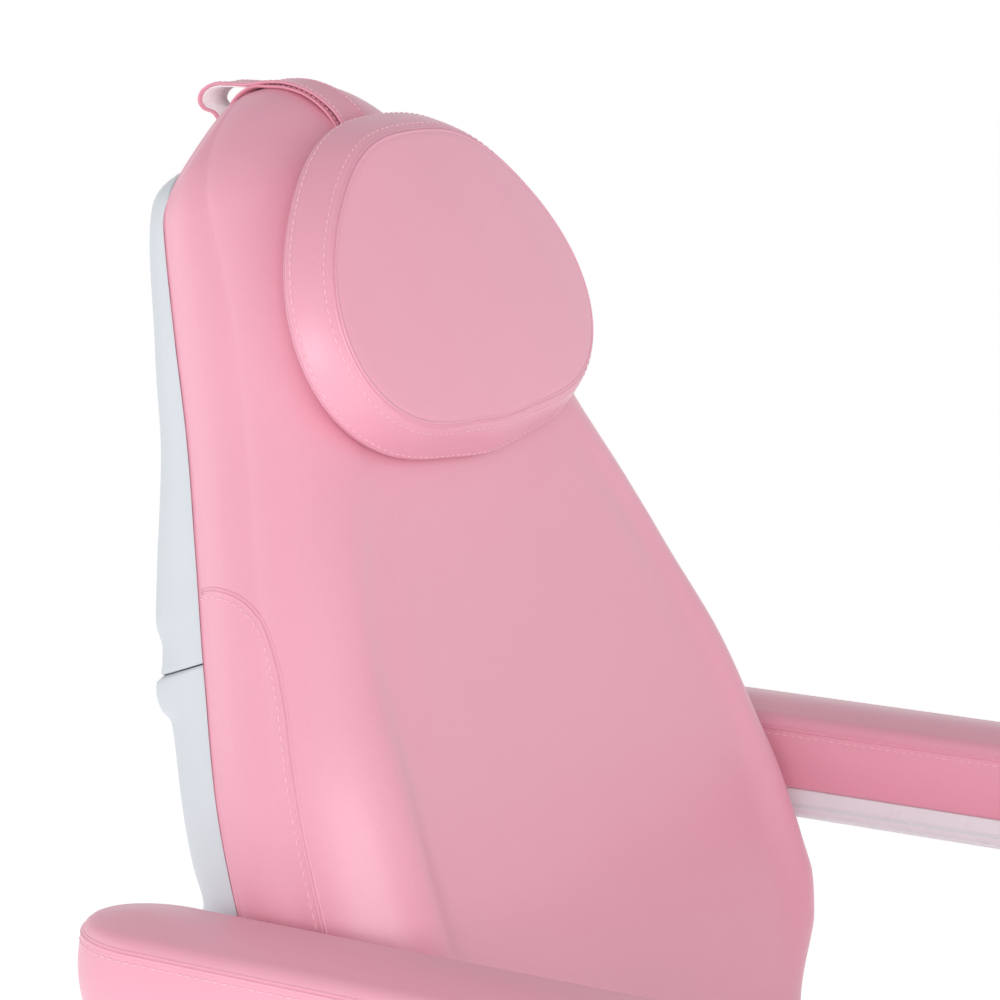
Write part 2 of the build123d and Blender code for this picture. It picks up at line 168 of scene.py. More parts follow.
def ring_faces(first: int, second: int, count: int,
               closed: bool = True) -> list[tuple[int, ...]]:
    """Quads between two rows of vertices of equal count.

    Args:
        first: Number of the first row's first vertex.
        second: Number of the second row's first vertex.
        count: Vertices in a row.
        closed: Whether a row runs round to its start.

    Returns:
        The faces.
    """
    faces = []
    for i in range(count if closed else count - 1):
        after = (i + 1) % count
        faces.append((first + i, first + after, second + after, second + i))
    return faces


def loft(name: str, rings: Sequence[Sequence[Vector]]) -> bpy.types.Object:
    """Skins closed rings of equal count, with a flat cap on each end.

    Args:
        name: Name of the piece.
        rings: Closed rings in order.

    Returns:
        The piece, with its faces outwards and doubles merged.
    """
    count = len(rings[0])
    last = (len(rings) - 1) * count
    vertices = [point for ring in rings for point in ring]
    faces = []
    for start in range(0, last, count):
        faces += ring_faces(start, start + count, count)
    faces.append(tuple(reversed(range(count))))
    faces.append(tuple(range(last, last + count)))
    return tidy_mesh(make_piece(name, vertices, faces))


def tidy_mesh(piece: bpy.types.Object) -> bpy.types.Object:
    """Merges doubles and turns a closed piece's faces outwards."""
    work = bmesh.new()
    work.from_mesh(piece.data)
    bmesh.ops.remove_doubles(work, verts=work.verts, dist=1e-6)
    bmesh.ops.recalc_face_normals(work, faces=work.faces)
    work.to_mesh(piece.data)
    work.free()
    piece.data.shade_smooth()
    return piece


def joined(name: str, pieces: Sequence[bpy.types.Object]) -> bpy.types.Object:
    """Joins pieces into one new object and removes them.

    Args:
        name: Name of the joined piece.
        pieces: The pieces, all at the origin.

    Returns:
        The joined piece.
    """
    vertices: list = []
    faces: list = []
    for piece in pieces:
        start = len(vertices)
        vertices += [vertex.co.copy() for vertex in piece.data.vertices]
        faces += [tuple(start + index for index in face.vertices) for face in piece.data.polygons]
        bpy.data.objects.remove(piece)
    return make_piece(name, vertices, faces)


def dress(piece: bpy.types.Object, material: bpy.types.Material, body: str) -> None:
    """Gives a piece its material and its body."""
    piece.data.materials.clear()
    piece.data.materials.append(material)
    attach(piece, body)
    LOG.info("%s rides on %s, %d faces", piece.name, body, len(piece.data.polygons))


# ------------------------------------------------------------------ finishes
WHITE = (1.0, 1.0, 1.0, 1.0)
PAINTED_CREASE_SHADE = (0.90, 0.82, 0.84, 1.0)  # painted shade: the grain's creases are drawn this much darker
PAINTED_CREASE_SHADE_SHARE = 0.35  # greatest share of that painted crease shade


class Slot(Enum):
    """Material slots of the record."""

    UPHOLSTERY = "pink_upholstery"
    WEBBING = "pink_webbing"
    MOULDING = "white_moulding"
    RAIL = "white_rail"
    POWDER = "white_powder_coat"
    STEEL = "bright_steel"
    PLYWOOD = "plywood"
    NYLON = "nylon"
    BLACK = "black_plastic"
    RUBBER = "black_rubber"


class Graph:
    """A short way to lay nodes in a material or a group."""

    def __init__(self, tree: bpy.types.NodeTree) -> None:
        """Keeps the tree."""
        self.tree = tree

    def node(self, kind: str, **values: object) -> bpy.types.Node:
        """Adds a node.

        Args:
            kind: Blender's node type.
            **values: Attributes of the node, or values or sockets for its inputs, named with _ for
                a space.

        Returns:
            The node.
        """
        new = self.tree.nodes.new(kind)
        for name, value in values.items():
            if hasattr(new, name):
                setattr(new, name, value)
            else:
                self.feed(new.inputs[name.replace("_", " ")], value)
        return new

    def link(self, source: bpy.types.NodeSocket, target: bpy.types.NodeSocket) -> None:
        """Links two sockets."""
        self.tree.links.new(source, target)

    def feed(self, target: bpy.types.NodeSocket, value: object) -> None:
        """Links an input to a socket, or sets it to a constant."""
        if isinstance(value, bpy.types.NodeSocket):
            self.link(value, target)
        else:
            target.default_value = value

    def math(self, operation: str, first: object, second: object = 0.0) -> bpy.types.NodeSocket:
        """Adds a Math node and returns its output."""
        new = self.node("ShaderNodeMath", operation=operation)
        for socket, value in zip(new.inputs, (first, second)):
            self.feed(socket, value)
        return new.outputs[0]

    def mix(self, factor: object, first: object, second: object,
            blend: str = "MIX") -> bpy.types.NodeSocket:
        """Adds a colour Mix node and returns its output.

        Args:
            factor: Share of the second colour, as a number or a socket.
            first: First colour.
            second: Second colour.
            blend: Blender's name of the way they are mixed.

        Returns:
            The mixed colour's socket.
        """
        new = self.node("ShaderNodeMix", data_type="RGBA", blend_type=blend, Factor=factor)
        colours = [each for each in new.inputs if each.type == "RGBA"]
        for socket, value in zip(colours, (first, second)):
            self.feed(socket, value)
        return next(each for each in new.outputs if each.type == "RGBA")


def new_group(name: str, inputs: dict[str, float],
              outputs: Sequence[str]) -> tuple[bpy.types.NodeTree, Graph]:
    """Makes an empty shader node group.

    Args:
        name: Name of the group.
        inputs: Names and values of its number inputs. A vector input named Place is always added.
        outputs: Names of its number outputs.

    Returns:
        The group and a graph to lay its nodes with.
    """
    tree = bpy.data.node_groups.new(name, "ShaderNodeTree")
    face = tree.interface
    face.new_socket(name="Place", in_out="INPUT", socket_type="NodeSocketVector")
    for title, value in inputs.items():
        socket = face.new_socket(name=title, in_out="INPUT", socket_type="NodeSocketFloat")
        socket.default_value = value
    for title in outputs:
        face.new_socket(name=title, in_out="OUTPUT", socket_type="NodeSocketFloat")
    return tree, Graph(tree)


def grain_group() -> bpy.types.NodeTree:
    """Pebbled grain of coated fabric: a height, and a mask of its creases for painted shade."""
    inputs = {"Size": 900.0, "Depth": 1.0}
    tree, graph = new_group("pebble_grain", inputs, ("Height", "Crease shade"))
    source, sink = graph.node("NodeGroupInput"), graph.node("NodeGroupOutput")
    warp = graph.node("ShaderNodeTexNoise", Vector=source.outputs["Place"], Scale=160.0, Detail=2.0)
    shift = graph.node("ShaderNodeVectorMath", operation="MULTIPLY")
    graph.link(warp.outputs["Color"], shift.inputs[0])
    shift.inputs[1].default_value = (0.002, 0.002, 0.002)
    moved = graph.node("ShaderNodeVectorMath", operation="ADD")
    graph.link(source.outputs["Place"], moved.inputs[0])
    graph.link(shift.outputs[0], moved.inputs[1])
    cells = graph.node("ShaderNodeTexVoronoi", Vector=moved.outputs[0],
                       feature="DISTANCE_TO_EDGE", Scale=source.outputs["Size"])
    fine = graph.node("ShaderNodeTexNoise", Vector=moved.outputs[0], Scale=2200.0, Detail=2.0)
    edge = graph.math("MINIMUM", graph.math("MULTIPLY", cells.outputs["Distance"], 3.5), 1.0)
    height = graph.math("ADD", edge, graph.math("MULTIPLY", fine.outputs["Fac"], 0.35))
    graph.link(graph.math("MULTIPLY", height, source.outputs["Depth"]), sink.inputs["Height"])
    # The crease mask is used to paint shade into the grain's creases in the base colour.
    graph.link(graph.math("SUBTRACT", 1.0, edge), sink.inputs["Crease shade"])
    return tree


def soil_group() -> bpy.types.NodeTree:
    """Slow unevenness of a surface that is handled: a mask from 0 to 1."""
    tree, graph = new_group("handling_wear", {"Size": 6.0, "Contrast": 1.0}, ("Mask",))
    source, sink = graph.node("NodeGroupInput"), graph.node("NodeGroupOutput")
    slow = graph.node("ShaderNodeTexNoise", Vector=source.outputs["Place"],
                      Scale=source.outputs["Size"], Detail=5.0, Roughness=0.55)
    centred = graph.math("SUBTRACT", slow.outputs["Fac"], 0.5)
    scaled = graph.math("MULTIPLY", centred, source.outputs["Contrast"])
    graph.link(graph.math("ADD", scaled, 0.5), sink.inputs["Mask"])
    return tree


def speckle_group() -> bpy.types.NodeTree:
    """Fine texture of moulded plastic and powder coat: a height."""
    tree, graph = new_group("fine_speckle", {"Size": 700.0, "Depth": 1.0}, ("Height",))
    source, sink = graph.node("NodeGroupInput"), graph.node("NodeGroupOutput")
    near = graph.node("ShaderNodeTexNoise", Vector=source.outputs["Place"],
                      Scale=source.outputs["Size"], Detail=3.0)
    height = graph.math("MULTIPLY", near.outputs["Fac"], source.outputs["Depth"])
    graph.link(height, sink.inputs["Height"])
    return tree


class Effects:
    """Shader node groups that the finishes share, built once."""

    def __init__(self) -> None:
        """Builds the groups."""
        self.grain = grain_group()
        self.soil = soil_group()
        self.speckle = speckle_group()


@dataclass(frozen=True)
class Finish:
    """A surface finish made of a base colour, its unevenness and a fine relief.

    Attributes:
        name: Name of the material.
        low: Darker colour of the unevenness, linear.
        high: Lighter colour.
        rough: Least and greatest roughness.
        relief: Which shared relief it has, "grain" or "speckle"; grain also paints shade into its
            creases.
        size: Scale of the relief.
        depth: Height of the relief in metres.
        metal: Metallic value.
        coat: Weight of a clear coat.
        sheen: Weight of a soft sheen.
        wear: Scale of the unevenness.
        glow: Light that the surface gives off by itself.
    """

    name: str
    low: tuple[float, float, float]
    high: tuple[float, float, float]
    rough: tuple[float, float]
    relief: str = "speckle"
    size: float = 700.0
    depth: float = 0.00003
    metal: float = 0.0
    coat: float = 0.0
    sheen: float = 0.0
    wear: float = 6.0
    glow: float = 0.0

    def build(self, effects: Effects) -> bpy.types.Material:
        """Makes the material.

        Args:
            effects: The shared groups.

        Returns:
            The material.
        """
        material = bpy.data.materials.new(self.name)
        material.use_nodes = True
        graph = Graph(material.node_tree)
        shader = material.node_tree.nodes["Principled BSDF"]
        place = graph.node("ShaderNodeTexCoord").outputs["Object"]
        soil = graph.node("ShaderNodeGroup", node_tree=effects.soil, Place=place, Size=self.wear)
        mask = soil.outputs["Mask"]
        colour = graph.mix(mask, (*self.low, 1.0), (*self.high, 1.0))
        rough = graph.node("ShaderNodeMapRange", Value=mask, To_Min=self.rough[0],
                           To_Max=self.rough[1])
        group = effects.grain if self.relief == "grain" else effects.speckle
        relief = graph.node("ShaderNodeGroup", node_tree=group, Place=place, Size=self.size)
        if self.relief == "grain":
            # Painted shade: darkens the base colour in the grain's creases.
            crease_shade_amount = graph.math("MULTIPLY", relief.outputs["Crease shade"], PAINTED_CREASE_SHADE_SHARE)
            colour = graph.mix(crease_shade_amount, colour, PAINTED_CREASE_SHADE, "MULTIPLY")
        bump = graph.node("ShaderNodeBump", Strength=0.6, Distance=self.depth,
                          Height=relief.outputs["Height"])
        graph.link(colour, shader.inputs["Base Color"])
        graph.link(rough.outputs["Result"], shader.inputs["Roughness"])
        graph.link(bump.outputs["Normal"], shader.inputs["Normal"])
        constants = {"Metallic": self.metal, "Coat Weight": self.coat, "Coat Roughness": 0.25,
                     "Sheen Weight": self.sheen, "Sheen Roughness": 0.4}
        if self.glow:
            constants |= {"Emission Color": WHITE, "Emission Strength": self.glow}
        for name, value in constants.items():
            shader.inputs[name].default_value = value
        return material


FINISHES = {
    Slot.UPHOLSTERY: Finish(
        "coated_fabric_pink", (0.77, 0.345, 0.445), (0.81, 0.375, 0.480), (0.33, 0.42),
        relief="grain", size=850.0, depth=0.00006, coat=0.12, sheen=0.10, wear=5.0),
    Slot.WEBBING: Finish(
        "strap_pink", (0.76, 0.32, 0.42), (0.81, 0.36, 0.46), (0.40, 0.50),
        relief="grain", size=1100.0, depth=0.00005, sheen=0.1, wear=14.0),
    Slot.MOULDING: Finish(
        "moulding_white", (0.57, 0.605, 0.645), (0.62, 0.655, 0.695), (0.40, 0.50),
        size=620.0, depth=0.00010, wear=4.0),
    Slot.RAIL: Finish(
        "rail_white", (0.74, 0.77, 0.80), (0.80, 0.83, 0.86), (0.24, 0.34),
        size=1500.0, depth=0.00002, coat=0.2),
    Slot.POWDER: Finish(
        "powder_coat_white", (0.70, 0.72, 0.75), (0.77, 0.79, 0.82), (0.34, 0.44),
        size=1300.0, depth=0.00005),
    Slot.STEEL: Finish(
        "zinc_plate", (0.50, 0.50, 0.50), (0.66, 0.66, 0.67), (0.22, 0.38),
        size=1800.0, depth=0.00002, metal=1.0, wear=30.0),
    Slot.PLYWOOD: Finish(
        "plywood", (0.40, 0.25, 0.13), (0.60, 0.42, 0.25), (0.6, 0.8),
        size=400.0, depth=0.0001, wear=18.0),
    Slot.NYLON: Finish(
        "natural_nylon", (0.74, 0.72, 0.64), (0.82, 0.80, 0.73), (0.28, 0.4)),
    Slot.BLACK: Finish(
        "black_moulding", (0.018, 0.018, 0.02), (0.035, 0.035, 0.04), (0.4, 0.55),
        depth=0.00008),
    Slot.RUBBER: Finish(
        "black_rubber", (0.012, 0.012, 0.012), (0.03, 0.03, 0.03), (0.6, 0.8),
        size=500.0, depth=0.0001),
}
THREAD = Finish(
    "sewing_thread", (0.84, 0.47, 0.56), (0.90, 0.56, 0.64), (0.45, 0.6),
    size=6000.0, depth=0.00006, sheen=0.3, wear=60.0)
PILE = Finish(
    "hook_and_loop_pile", (0.86, 0.78, 0.80), (0.95, 0.90, 0.92), (0.8, 0.95),
    size=2600.0, depth=0.0004, sheen=0.6, wear=90.0)


# ------------------------------------------------------------------ sewing
class Surface:
    """A finished cover that seams are laid on."""

    def __init__(self, piece: bpy.types.Object) -> None:
        """Reads the piece's mesh."""
        mesh = piece.data
        vertices = [vertex.co for vertex in mesh.vertices]
        faces = [tuple(face.vertices) for face in mesh.polygons]
        self.tree = BVHTree.FromPolygons(vertices, faces)

    def drop(self, point: Vector) -> tuple[Vector, Vector]:
        """Finds the nearest point of the cover and its normal."""
        spot, normal, _, _ = self.tree.find_nearest(point)
        return spot, normal

    def route(self, points: Sequence[Vector], closed: bool, pitch: float = 0.003,
              aside: float = 0.0) -> tuple[list[Vector], list[Vector]]:
        """Lays a route on the cover.

        Args:
            points: Places near the cover.
            closed: Whether the route runs round to its start.
            pitch: Distance between the route's points.
            aside: How far the route is moved to its left, seen from outside.

        Returns:
            The route's points and the cover's normals there.
        """
        spots = [self.drop(point)[0] for point in points]
        spots = even(spots, closed, pitch)
        placed = [self.drop(spot) for spot in spots]
        normals = soften([normal for _, normal in placed], closed)
        spots = [spot for spot, _ in placed]
        if not aside:
            return spots, normals
        moved = [spot + normal.cross(way).normalized() * aside
                 for spot, normal, way in zip(spots, normals, along(spots, closed))]
        return self.route(moved, closed, pitch)


def even(points: Sequence[Vector], closed: bool, pitch: float) -> list[Vector]:
    """Spaces a route's points evenly."""
    loop = [*points, points[0]] if closed else list(points)
    lengths = np.cumsum([0.0, *[(b - a).length for a, b in zip(loop, loop[1:])]])
    count = max(int(lengths[-1] / pitch), 4)
    at = np.linspace(0, lengths[-1], count, endpoint=not closed)
    axes = [np.interp(at, lengths, [point[axis] for point in loop]) for axis in range(3)]
    return [Vector(values) for values in zip(*axes)]


def neighbours(values: Sequence[Vector], closed: bool) -> tuple[list[Vector], list[Vector]]:
    """Gives each value's neighbours before and after it, its own value past an open end."""
    if closed:
        return [values[-1], *values[:-1]], [*values[1:], values[0]]
    return [values[0], *values[:-1]], [*values[1:], values[-1]]


def soften(values: Sequence[Vector], closed: bool, passes: int = 3) -> list[Vector]:
    """Evens out unit vectors along a route."""
    result = list(values)
    for _ in range(passes):
        before, after = neighbours(result, closed)
        result = [(a + b + c).normalized() for a, b, c in zip(before, result, after)]
    return result


def along(points: Sequence[Vector], closed: bool) -> list[Vector]:
    """Directions along a route."""
    before, after = neighbours(points, closed)
    return [(b - a).normalized() for a, b in zip(before, after)]


def sweep(name: str, points: Sequence[Vector], normals: Sequence[Vector],
          profile: Sequence[Point], closed: bool) -> bpy.types.Object:
    """Sweeps a closed outline along a route on a surface.

    Args:
        name: Name of the piece.
        points: The route.
        normals: Direction that is up at each point.
        profile: The outline, as pairs of sideways place and height.
        closed: Whether the route is a loop.

    Returns:
        The closed piece, with its faces outwards.
    """
    vertices = []
    for point, normal, way in zip(points, normals, along(points, closed)):
        side = normal.cross(way).normalized()
        vertices += [point + side * across + normal * height for across, height in profile]
    width = len(profile)
    faces = []
    for row in range(len(points) if closed else len(points) - 1):
        faces += ring_faces(row * width, ((row + 1) % len(points)) * width, width)
    if not closed:
        last = len(vertices) - width
        faces += [tuple(range(width)), tuple(reversed(range(last, last + width)))]
    return tidy_mesh(make_piece(name, vertices, faces))


STITCH_PITCH = 0.0070  # distance from stitch to stitch
STITCH_SHARE = 0.76  # length of a stitch, as a share of the pitch
STITCH_LIFT = 0.0002  # height of the stitches' middle line over the cover


class StitchTree:
    """Geometry nodes that lay stitches along a line of edges."""

    def __init__(self, material: bpy.types.Material) -> None:
        """Builds the tree.

        Args:
            material: Material of the thread.
        """
        tree = bpy.data.node_groups.new("stitch_row", "GeometryNodeTree")
        face = tree.interface
        face.new_socket(name="Line", in_out="INPUT", socket_type="NodeSocketGeometry")
        sizes = {"Pitch": STITCH_PITCH, "Length": STITCH_PITCH * STITCH_SHARE, "Thickness": 0.0009}
        for title, value in sizes.items():
            socket = face.new_socket(name=title, in_out="INPUT", socket_type="NodeSocketFloat")
            socket.default_value = value
        face.new_socket(name="Stitches", in_out="OUTPUT", socket_type="NodeSocketGeometry")
        graph = Graph(tree)
        source, sink = graph.node("NodeGroupInput"), graph.node("NodeGroupOutput")
        curve = graph.node("GeometryNodeMeshToCurve", Mesh=source.outputs["Line"])
        spaced = graph.node("GeometryNodeResampleCurve", mode="LENGTH", Curve=curve.outputs[0],
                            Length=source.outputs["Pitch"])
        up = graph.node("GeometryNodeInputNamedAttribute", data_type="FLOAT_VECTOR", Name="up")
        way = graph.node("GeometryNodeInputTangent")
        turn = graph.node("FunctionNodeAxesToRotation", primary_axis="Z", secondary_axis="X")
        graph.link(up.outputs["Attribute"], turn.inputs["Primary Axis"])
        graph.link(way.outputs[0], turn.inputs["Secondary Axis"])
        ball = graph.node("GeometryNodeMeshUVSphere", Segments=8, Rings=6, Radius=0.5)
        thick = source.outputs["Thickness"]
        shape = graph.node("ShaderNodeCombineXYZ", X=source.outputs["Length"], Y=thick, Z=thick)
        sized = graph.node("GeometryNodeTransform", Geometry=ball.outputs["Mesh"],
                           Scale=shape.outputs[0])
        laid = graph.node("GeometryNodeInstanceOnPoints", Points=spaced.outputs[0],
                          Instance=sized.outputs[0], Rotation=turn.outputs[0])
        real = graph.node("GeometryNodeRealizeInstances", Geometry=laid.outputs[0])
        made = graph.node("GeometryNodeSetMaterial", Geometry=real.outputs[0], Material=material)
        graph.link(made.outputs[0], sink.inputs["Stitches"])
        self.tree = tree

    def row(self, name: str, points: Sequence[Vector], normals: Sequence[Vector], closed: bool,
            pitch: float = STITCH_PITCH) -> bpy.types.Object:
        """Sews one row of stitches.

        Args:
            name: Name of the row.
            points: The route on the cover.
            normals: The cover's normals along it.
            closed: Whether the route is a loop.
            pitch: Distance from stitch to stitch.

        Returns:
            A plain mesh object with the stitches.
        """
        count = len(points)
        edges = [(i, (i + 1) % count) for i in range(count if closed else count - 1)]
        mesh = bpy.data.meshes.new(name)
        raised = [tuple(point + normal * STITCH_LIFT) for point, normal in zip(points, normals)]
        mesh.from_pydata(raised, edges, [])
        up = mesh.attributes.new("up", "FLOAT_VECTOR", "POINT")
        up.data.foreach_set("vector", [value for normal in normals for value in normal])
        line = bpy.data.objects.new(name, mesh)
        bpy.context.scene.collection.objects.link(line)
        sewing = line.modifiers.new("sewing", "NODES")
        sewing.node_group = self.tree
        sockets = {item.name: item.identifier for item in self.tree.interface.items_tree
                   if item.in_out == "INPUT"}
        sewing[sockets["Pitch"]] = pitch
        sewing[sockets["Length"]] = pitch * STITCH_SHARE
        graph = bpy.context.evaluated_depsgraph_get()
        plain = bpy.data.meshes.new_from_object(line.evaluated_get(graph))
        bpy.data.objects.remove(line)
        row = bpy.data.objects.new(name, plain)
        bpy.context.scene.collection.objects.link(row)
        plain.shade_smooth()
        return row


# A seam's section, sideways and upwards: two folded edges, the groove between and a sunk foot.
SEAM_PROFILE = ((-0.0028, -0.0004), (-0.0017, 0.0004), (-0.0006, 0.0007), (-0.0002, -0.0006),
                (0.0002, -0.0006), (0.0006, 0.0007), (0.0017, 0.0004), (0.0028, -0.0004),
                (0.0026, -0.0014), (-0.0026, -0.0014))


@dataclass
class Sewing:
    """All the seams and stitches of one body's cover.

    Attributes:
        body: Body that they ride on, which also starts the pieces' names.
        stitcher: Tree that lays the stitches.
        seams: Seam pieces made so far.
        rows: Rows of stitches made so far.
    """

    body: str
    stitcher: StitchTree
    seams: list[bpy.types.Object] = field(default_factory=list)
    rows: list[bpy.types.Object] = field(default_factory=list)

    def seam(self, surface: Surface, points: Sequence[Vector], closed: bool,
             rows: Sequence[float]) -> None:
        """Adds a seam and its rows of stitches.

        Args:
            surface: Cover that it is sewn in.
            points: Places near the cover.
            closed: Whether the seam is a loop.
            rows: Distances of the rows from the seam, positive to the left seen from outside.
        """
        spots, normals = surface.route(points, closed)
        self.seams.append(sweep(f"{self.body}_seam", spots, normals, SEAM_PROFILE, closed))
        for aside in rows:
            beside, up = surface.route(points, closed, aside=aside)
            self.rows.append(self.stitcher.row(f"{self.body}_row", beside, up, closed))

    def finish(self, cover: bpy.types.Material, thread: bpy.types.Material) -> None:
        """Joins the seams and the stitches and dresses them."""
        dress(joined(f"{self.body}_seams", self.seams), cover, self.body)
        dress(joined(f"{self.body}_stitches", self.rows), thread, self.body)


# ------------------------------------------------------------------ padded parts
CROWN_SPREAD = 0.12  # distance from the outline over which a crown rises
RELIEF_SPREAD = 1.1  # the same for the relief, in edge roundings
FULL_WALL = 0.03  # height of side wall that swells fully
FOOT_RISE = 0.004  # rise of the underside over which the cover's tuck fades out
TUCK_FROM = 0.85  # share of the way down the side wall where the tuck begins
SWELL_PACE = 1.05  # over 1, so the side wall's swelling ends just above its foot


@dataclass(frozen=True)
class Outline:
    """Plan outline of a pad, the same on both sides, with rounded corners.

    Attributes:
        sides: Pairs of distance from the hinge and half width, in rising order.
        corner: Rounding of the corners at the near and far end.
    """

    sides: Sequence[Point]
    corner: Point

    @property
    def ends(self) -> Point:
        """Distances of the near and the far end from the hinge."""
        return self.sides[0][0], self.sides[-1][0]

    def half(self, at: np.ndarray) -> np.ndarray:
        """Half width at a distance from the hinge."""
        at = np.asarray(at, float)
        width = smooth_line(self.sides)(at)
        near, far = self.ends
        for radius, gap in zip(self.corner, (at - near, far - at)):
            into = np.clip(radius - gap, 0, radius)
            width = width - (radius - np.sqrt(radius**2 - into**2))
        return width

    def spaced(self, count: int) -> np.ndarray:
        """Distances from the hinge, from end to end and closest together at the ends."""
        near, far = self.ends
        return (near + far) / 2 + sine_steps(count) * (far - near) / 2

    def loop(self, steps: int = 400, across: int = 60) -> np.ndarray:
        """The whole outline as a closed row of points.

        Args:
            steps: Points along each side.
            across: Points over each end, with the corners.

        Returns:
            Rows of place across and distance from the hinge.
        """
        at = self.spaced(steps)
        right = np.stack([self.half(at), at], 1)
        left = np.stack([-self.half(at), at], 1)[::-1]
        ends = [np.stack([np.linspace(a[0], b[0], across), np.full(across, a[1])], 1)[1:-1]
                for a, b in ((right[-1], left[0]), (left[-1], right[0]))]
        return np.concatenate([right, ends[0], left, ends[1]])


def sine_steps(count: int) -> np.ndarray:
    """Steps from -1 to 1 that are closest together at the ends."""
    return np.sin(np.linspace(-math.pi / 2, math.pi / 2, count))


@dataclass(frozen=True)
class Nose:
    """Full rounding of a pad's far end.

    Attributes:
        reach: How far in from the outline it starts.
        drop: How far the upper face comes down in it.
        under: How far in from the outline its rear part starts.
        start: Distance from the hinge where it begins to grow.
        grown: How far short of the far end it is full size.
        lag: How much later than the upper face the underside begins to turn up.
        under_grown: How far short of the far end the underside's turn is full size.
        flat: Height of side wall left between the upper face and the underside.
    """

    reach: float
    drop: float
    under: float
    start: float
    grown: float = 0.03
    lag: float = 0.09
    under_grown: float = 0.006
    flat: float = 0.004


@dataclass
class Pad:
    """A foam cushion under a sewn cover, lying on a slope.

    Attributes:
        name: Name of the piece.
        node: CAD node that it stands for.
        body: Body that it rides on.
        slope: Plane that it lies in.
        outline: Its plan outline.
        low: Height of its underside above the slope.
        high: Height of its upper face.
        edge: Rounding of its upper edge.
        crown: How far the middle stands up.
        bulge: How far the side wall swells.
        relief: Extra height over the upper face.
        nose: Full rounding at the far end.
        rows: Rows of the mesh along the slope.
        columns: Columns of the mesh across it.
        tuck: How far the cover pulls in at the foot of the side wall.
    """

    name: str
    node: str
    body: str
    slope: Slope
    outline: Outline
    low: float
    high: float
    edge: float
    crown: float
    relief: Relief
    nose: Nose | None = None
    bulge: float = 0.004
    rows: int = 170
    columns: int = 120
    tuck: float = 0.0012

    def height(self, x: np.ndarray, at: np.ndarray) -> np.ndarray:
        """Height of the upper face."""
        inside = self.inside(x, at)
        reach = drop = self.edge
        if self.nose:
            nose = self.nose
            share = ease(at, nose.start, self.outline.ends[1] - nose.grown)
            reach = self.edge + (nose.reach - self.edge) * share
            drop = self.edge + (nose.drop - self.edge) * share
        level = self.high - drop * round_off(inside, reach)
        level += self.crown * (1 - np.exp(-((inside / CROWN_SPREAD) ** 2)))
        fade = ease(inside, 0.0, self.edge * RELIEF_SPREAD)
        return level + self.relief(np.abs(x), at) * fade

    def inside(self, x: np.ndarray, at: np.ndarray, batches: int = 60) -> np.ndarray:
        """Distance of places from the plan outline, worked out in batches to save memory."""
        line = self.outline.loop()
        ahead = np.roll(line, -1, axis=0) - line
        size = (ahead**2).sum(1) + 1e-12
        nearest = []
        for part in np.array_split(np.stack([x.ravel(), at.ravel()], 1), batches):
            gap = part[:, None] - line[None]
            share = np.clip((gap * ahead).sum(2) / size, 0, 1)
            nearest.append(np.sqrt(((gap - share[..., None] * ahead) ** 2).sum(2).min(1)))
        return np.concatenate(nearest).reshape(x.shape)

    def base(self, x: np.ndarray, at: np.ndarray) -> np.ndarray:
        """Height of the underside, which turns up round the far end where the pad has a nose."""
        if not self.nose:
            return np.full(x.shape, self.low)
        nose = self.nose
        turned = ease(at, nose.start + nose.lag, self.outline.ends[1] - nose.under_grown)
        rise = self.high - nose.drop - self.low - nose.flat
        return self.low + rise * turned * round_off(self.inside(x, at), nose.under)

    def build(self) -> bpy.types.Object:
        """Makes the closed, crowned cushion."""
        at = self.outline.spaced(self.rows)[:, None] + np.zeros((1, self.columns))
        x = self.outline.half(at) * sine_steps(self.columns)[None]
        top = np.stack([x, at, self.height(x, at)], 2).reshape(-1, 3)
        low = self.base(x, at).ravel()
        sheet = self.sheet()
        rim = self.rim()
        vertices = [self.slope.place(*values) for values in top]
        faces = list(sheet)
        foot = self.add_wall(top[rim], low[rim], rim, vertices, faces)
        below = dict(zip(rim, foot))
        for index, (across, away, _) in enumerate(top):
            if index not in below:
                below[index] = len(vertices)
                vertices.append(self.slope.place(across, away, low[index]))
        faces += [tuple(below[index] for index in reversed(face)) for face in sheet]
        return tidy_mesh(make_piece(self.name, vertices, faces))

    def sheet(self) -> list[tuple[int, ...]]:
        """Faces of the upper face's rows and columns."""
        faces = []
        for start in range(0, (self.rows - 1) * self.columns, self.columns):
            faces += ring_faces(start, start + self.columns, self.columns, False)
        return faces

    def add_wall(self, edge: np.ndarray, low: np.ndarray, rim: Sequence[int],
                 vertices: list[Vector], faces: list[tuple[int, ...]],
                 levels: int = 12) -> list[int]:
        """Adds the swelling side wall below the rim.

        Args:
            edge: Place across, distance from the hinge and height of the rim's points.
            low: Height of the underside below each of them.
            rim: Their vertex numbers.
            vertices: Vertices so far, which the wall's are added to.
            faces: Faces so far, which the wall's are added to.
            levels: Rows of the wall.

        Returns:
            Vertex numbers of the wall's foot.
        """
        count, before = len(rim), list(rim)
        for step in range(1, levels + 1):
            t = step / levels
            swell = self.bulge * math.sin(math.pi * min(t * SWELL_PACE, 1.0))
            tuck = self.tuck * max(t - TUCK_FROM, 0) / (1 - TUCK_FROM)
            start = len(vertices)
            for i, (across, away, level) in enumerate(edge):
                ahead = edge[(i + 1) % count] - edge[i - 1]
                size = math.hypot(ahead[0], ahead[1]) or 1.0
                out = swell * min((level - low[i]) / FULL_WALL, 1.0)
                out -= tuck * max(1 - (low[i] - self.low) / FOOT_RISE, 0.0)
                vertices.append(self.slope.place(across + ahead[1] / size * out,
                                                 away - ahead[0] / size * out,
                                                 level + (low[i] - level) * t))
            now = list(range(start, start + count))
            faces += [(before[i], now[i], now[(i + 1) % count], before[(i + 1) % count])
                      for i in range(count)]
            before = now
        return before

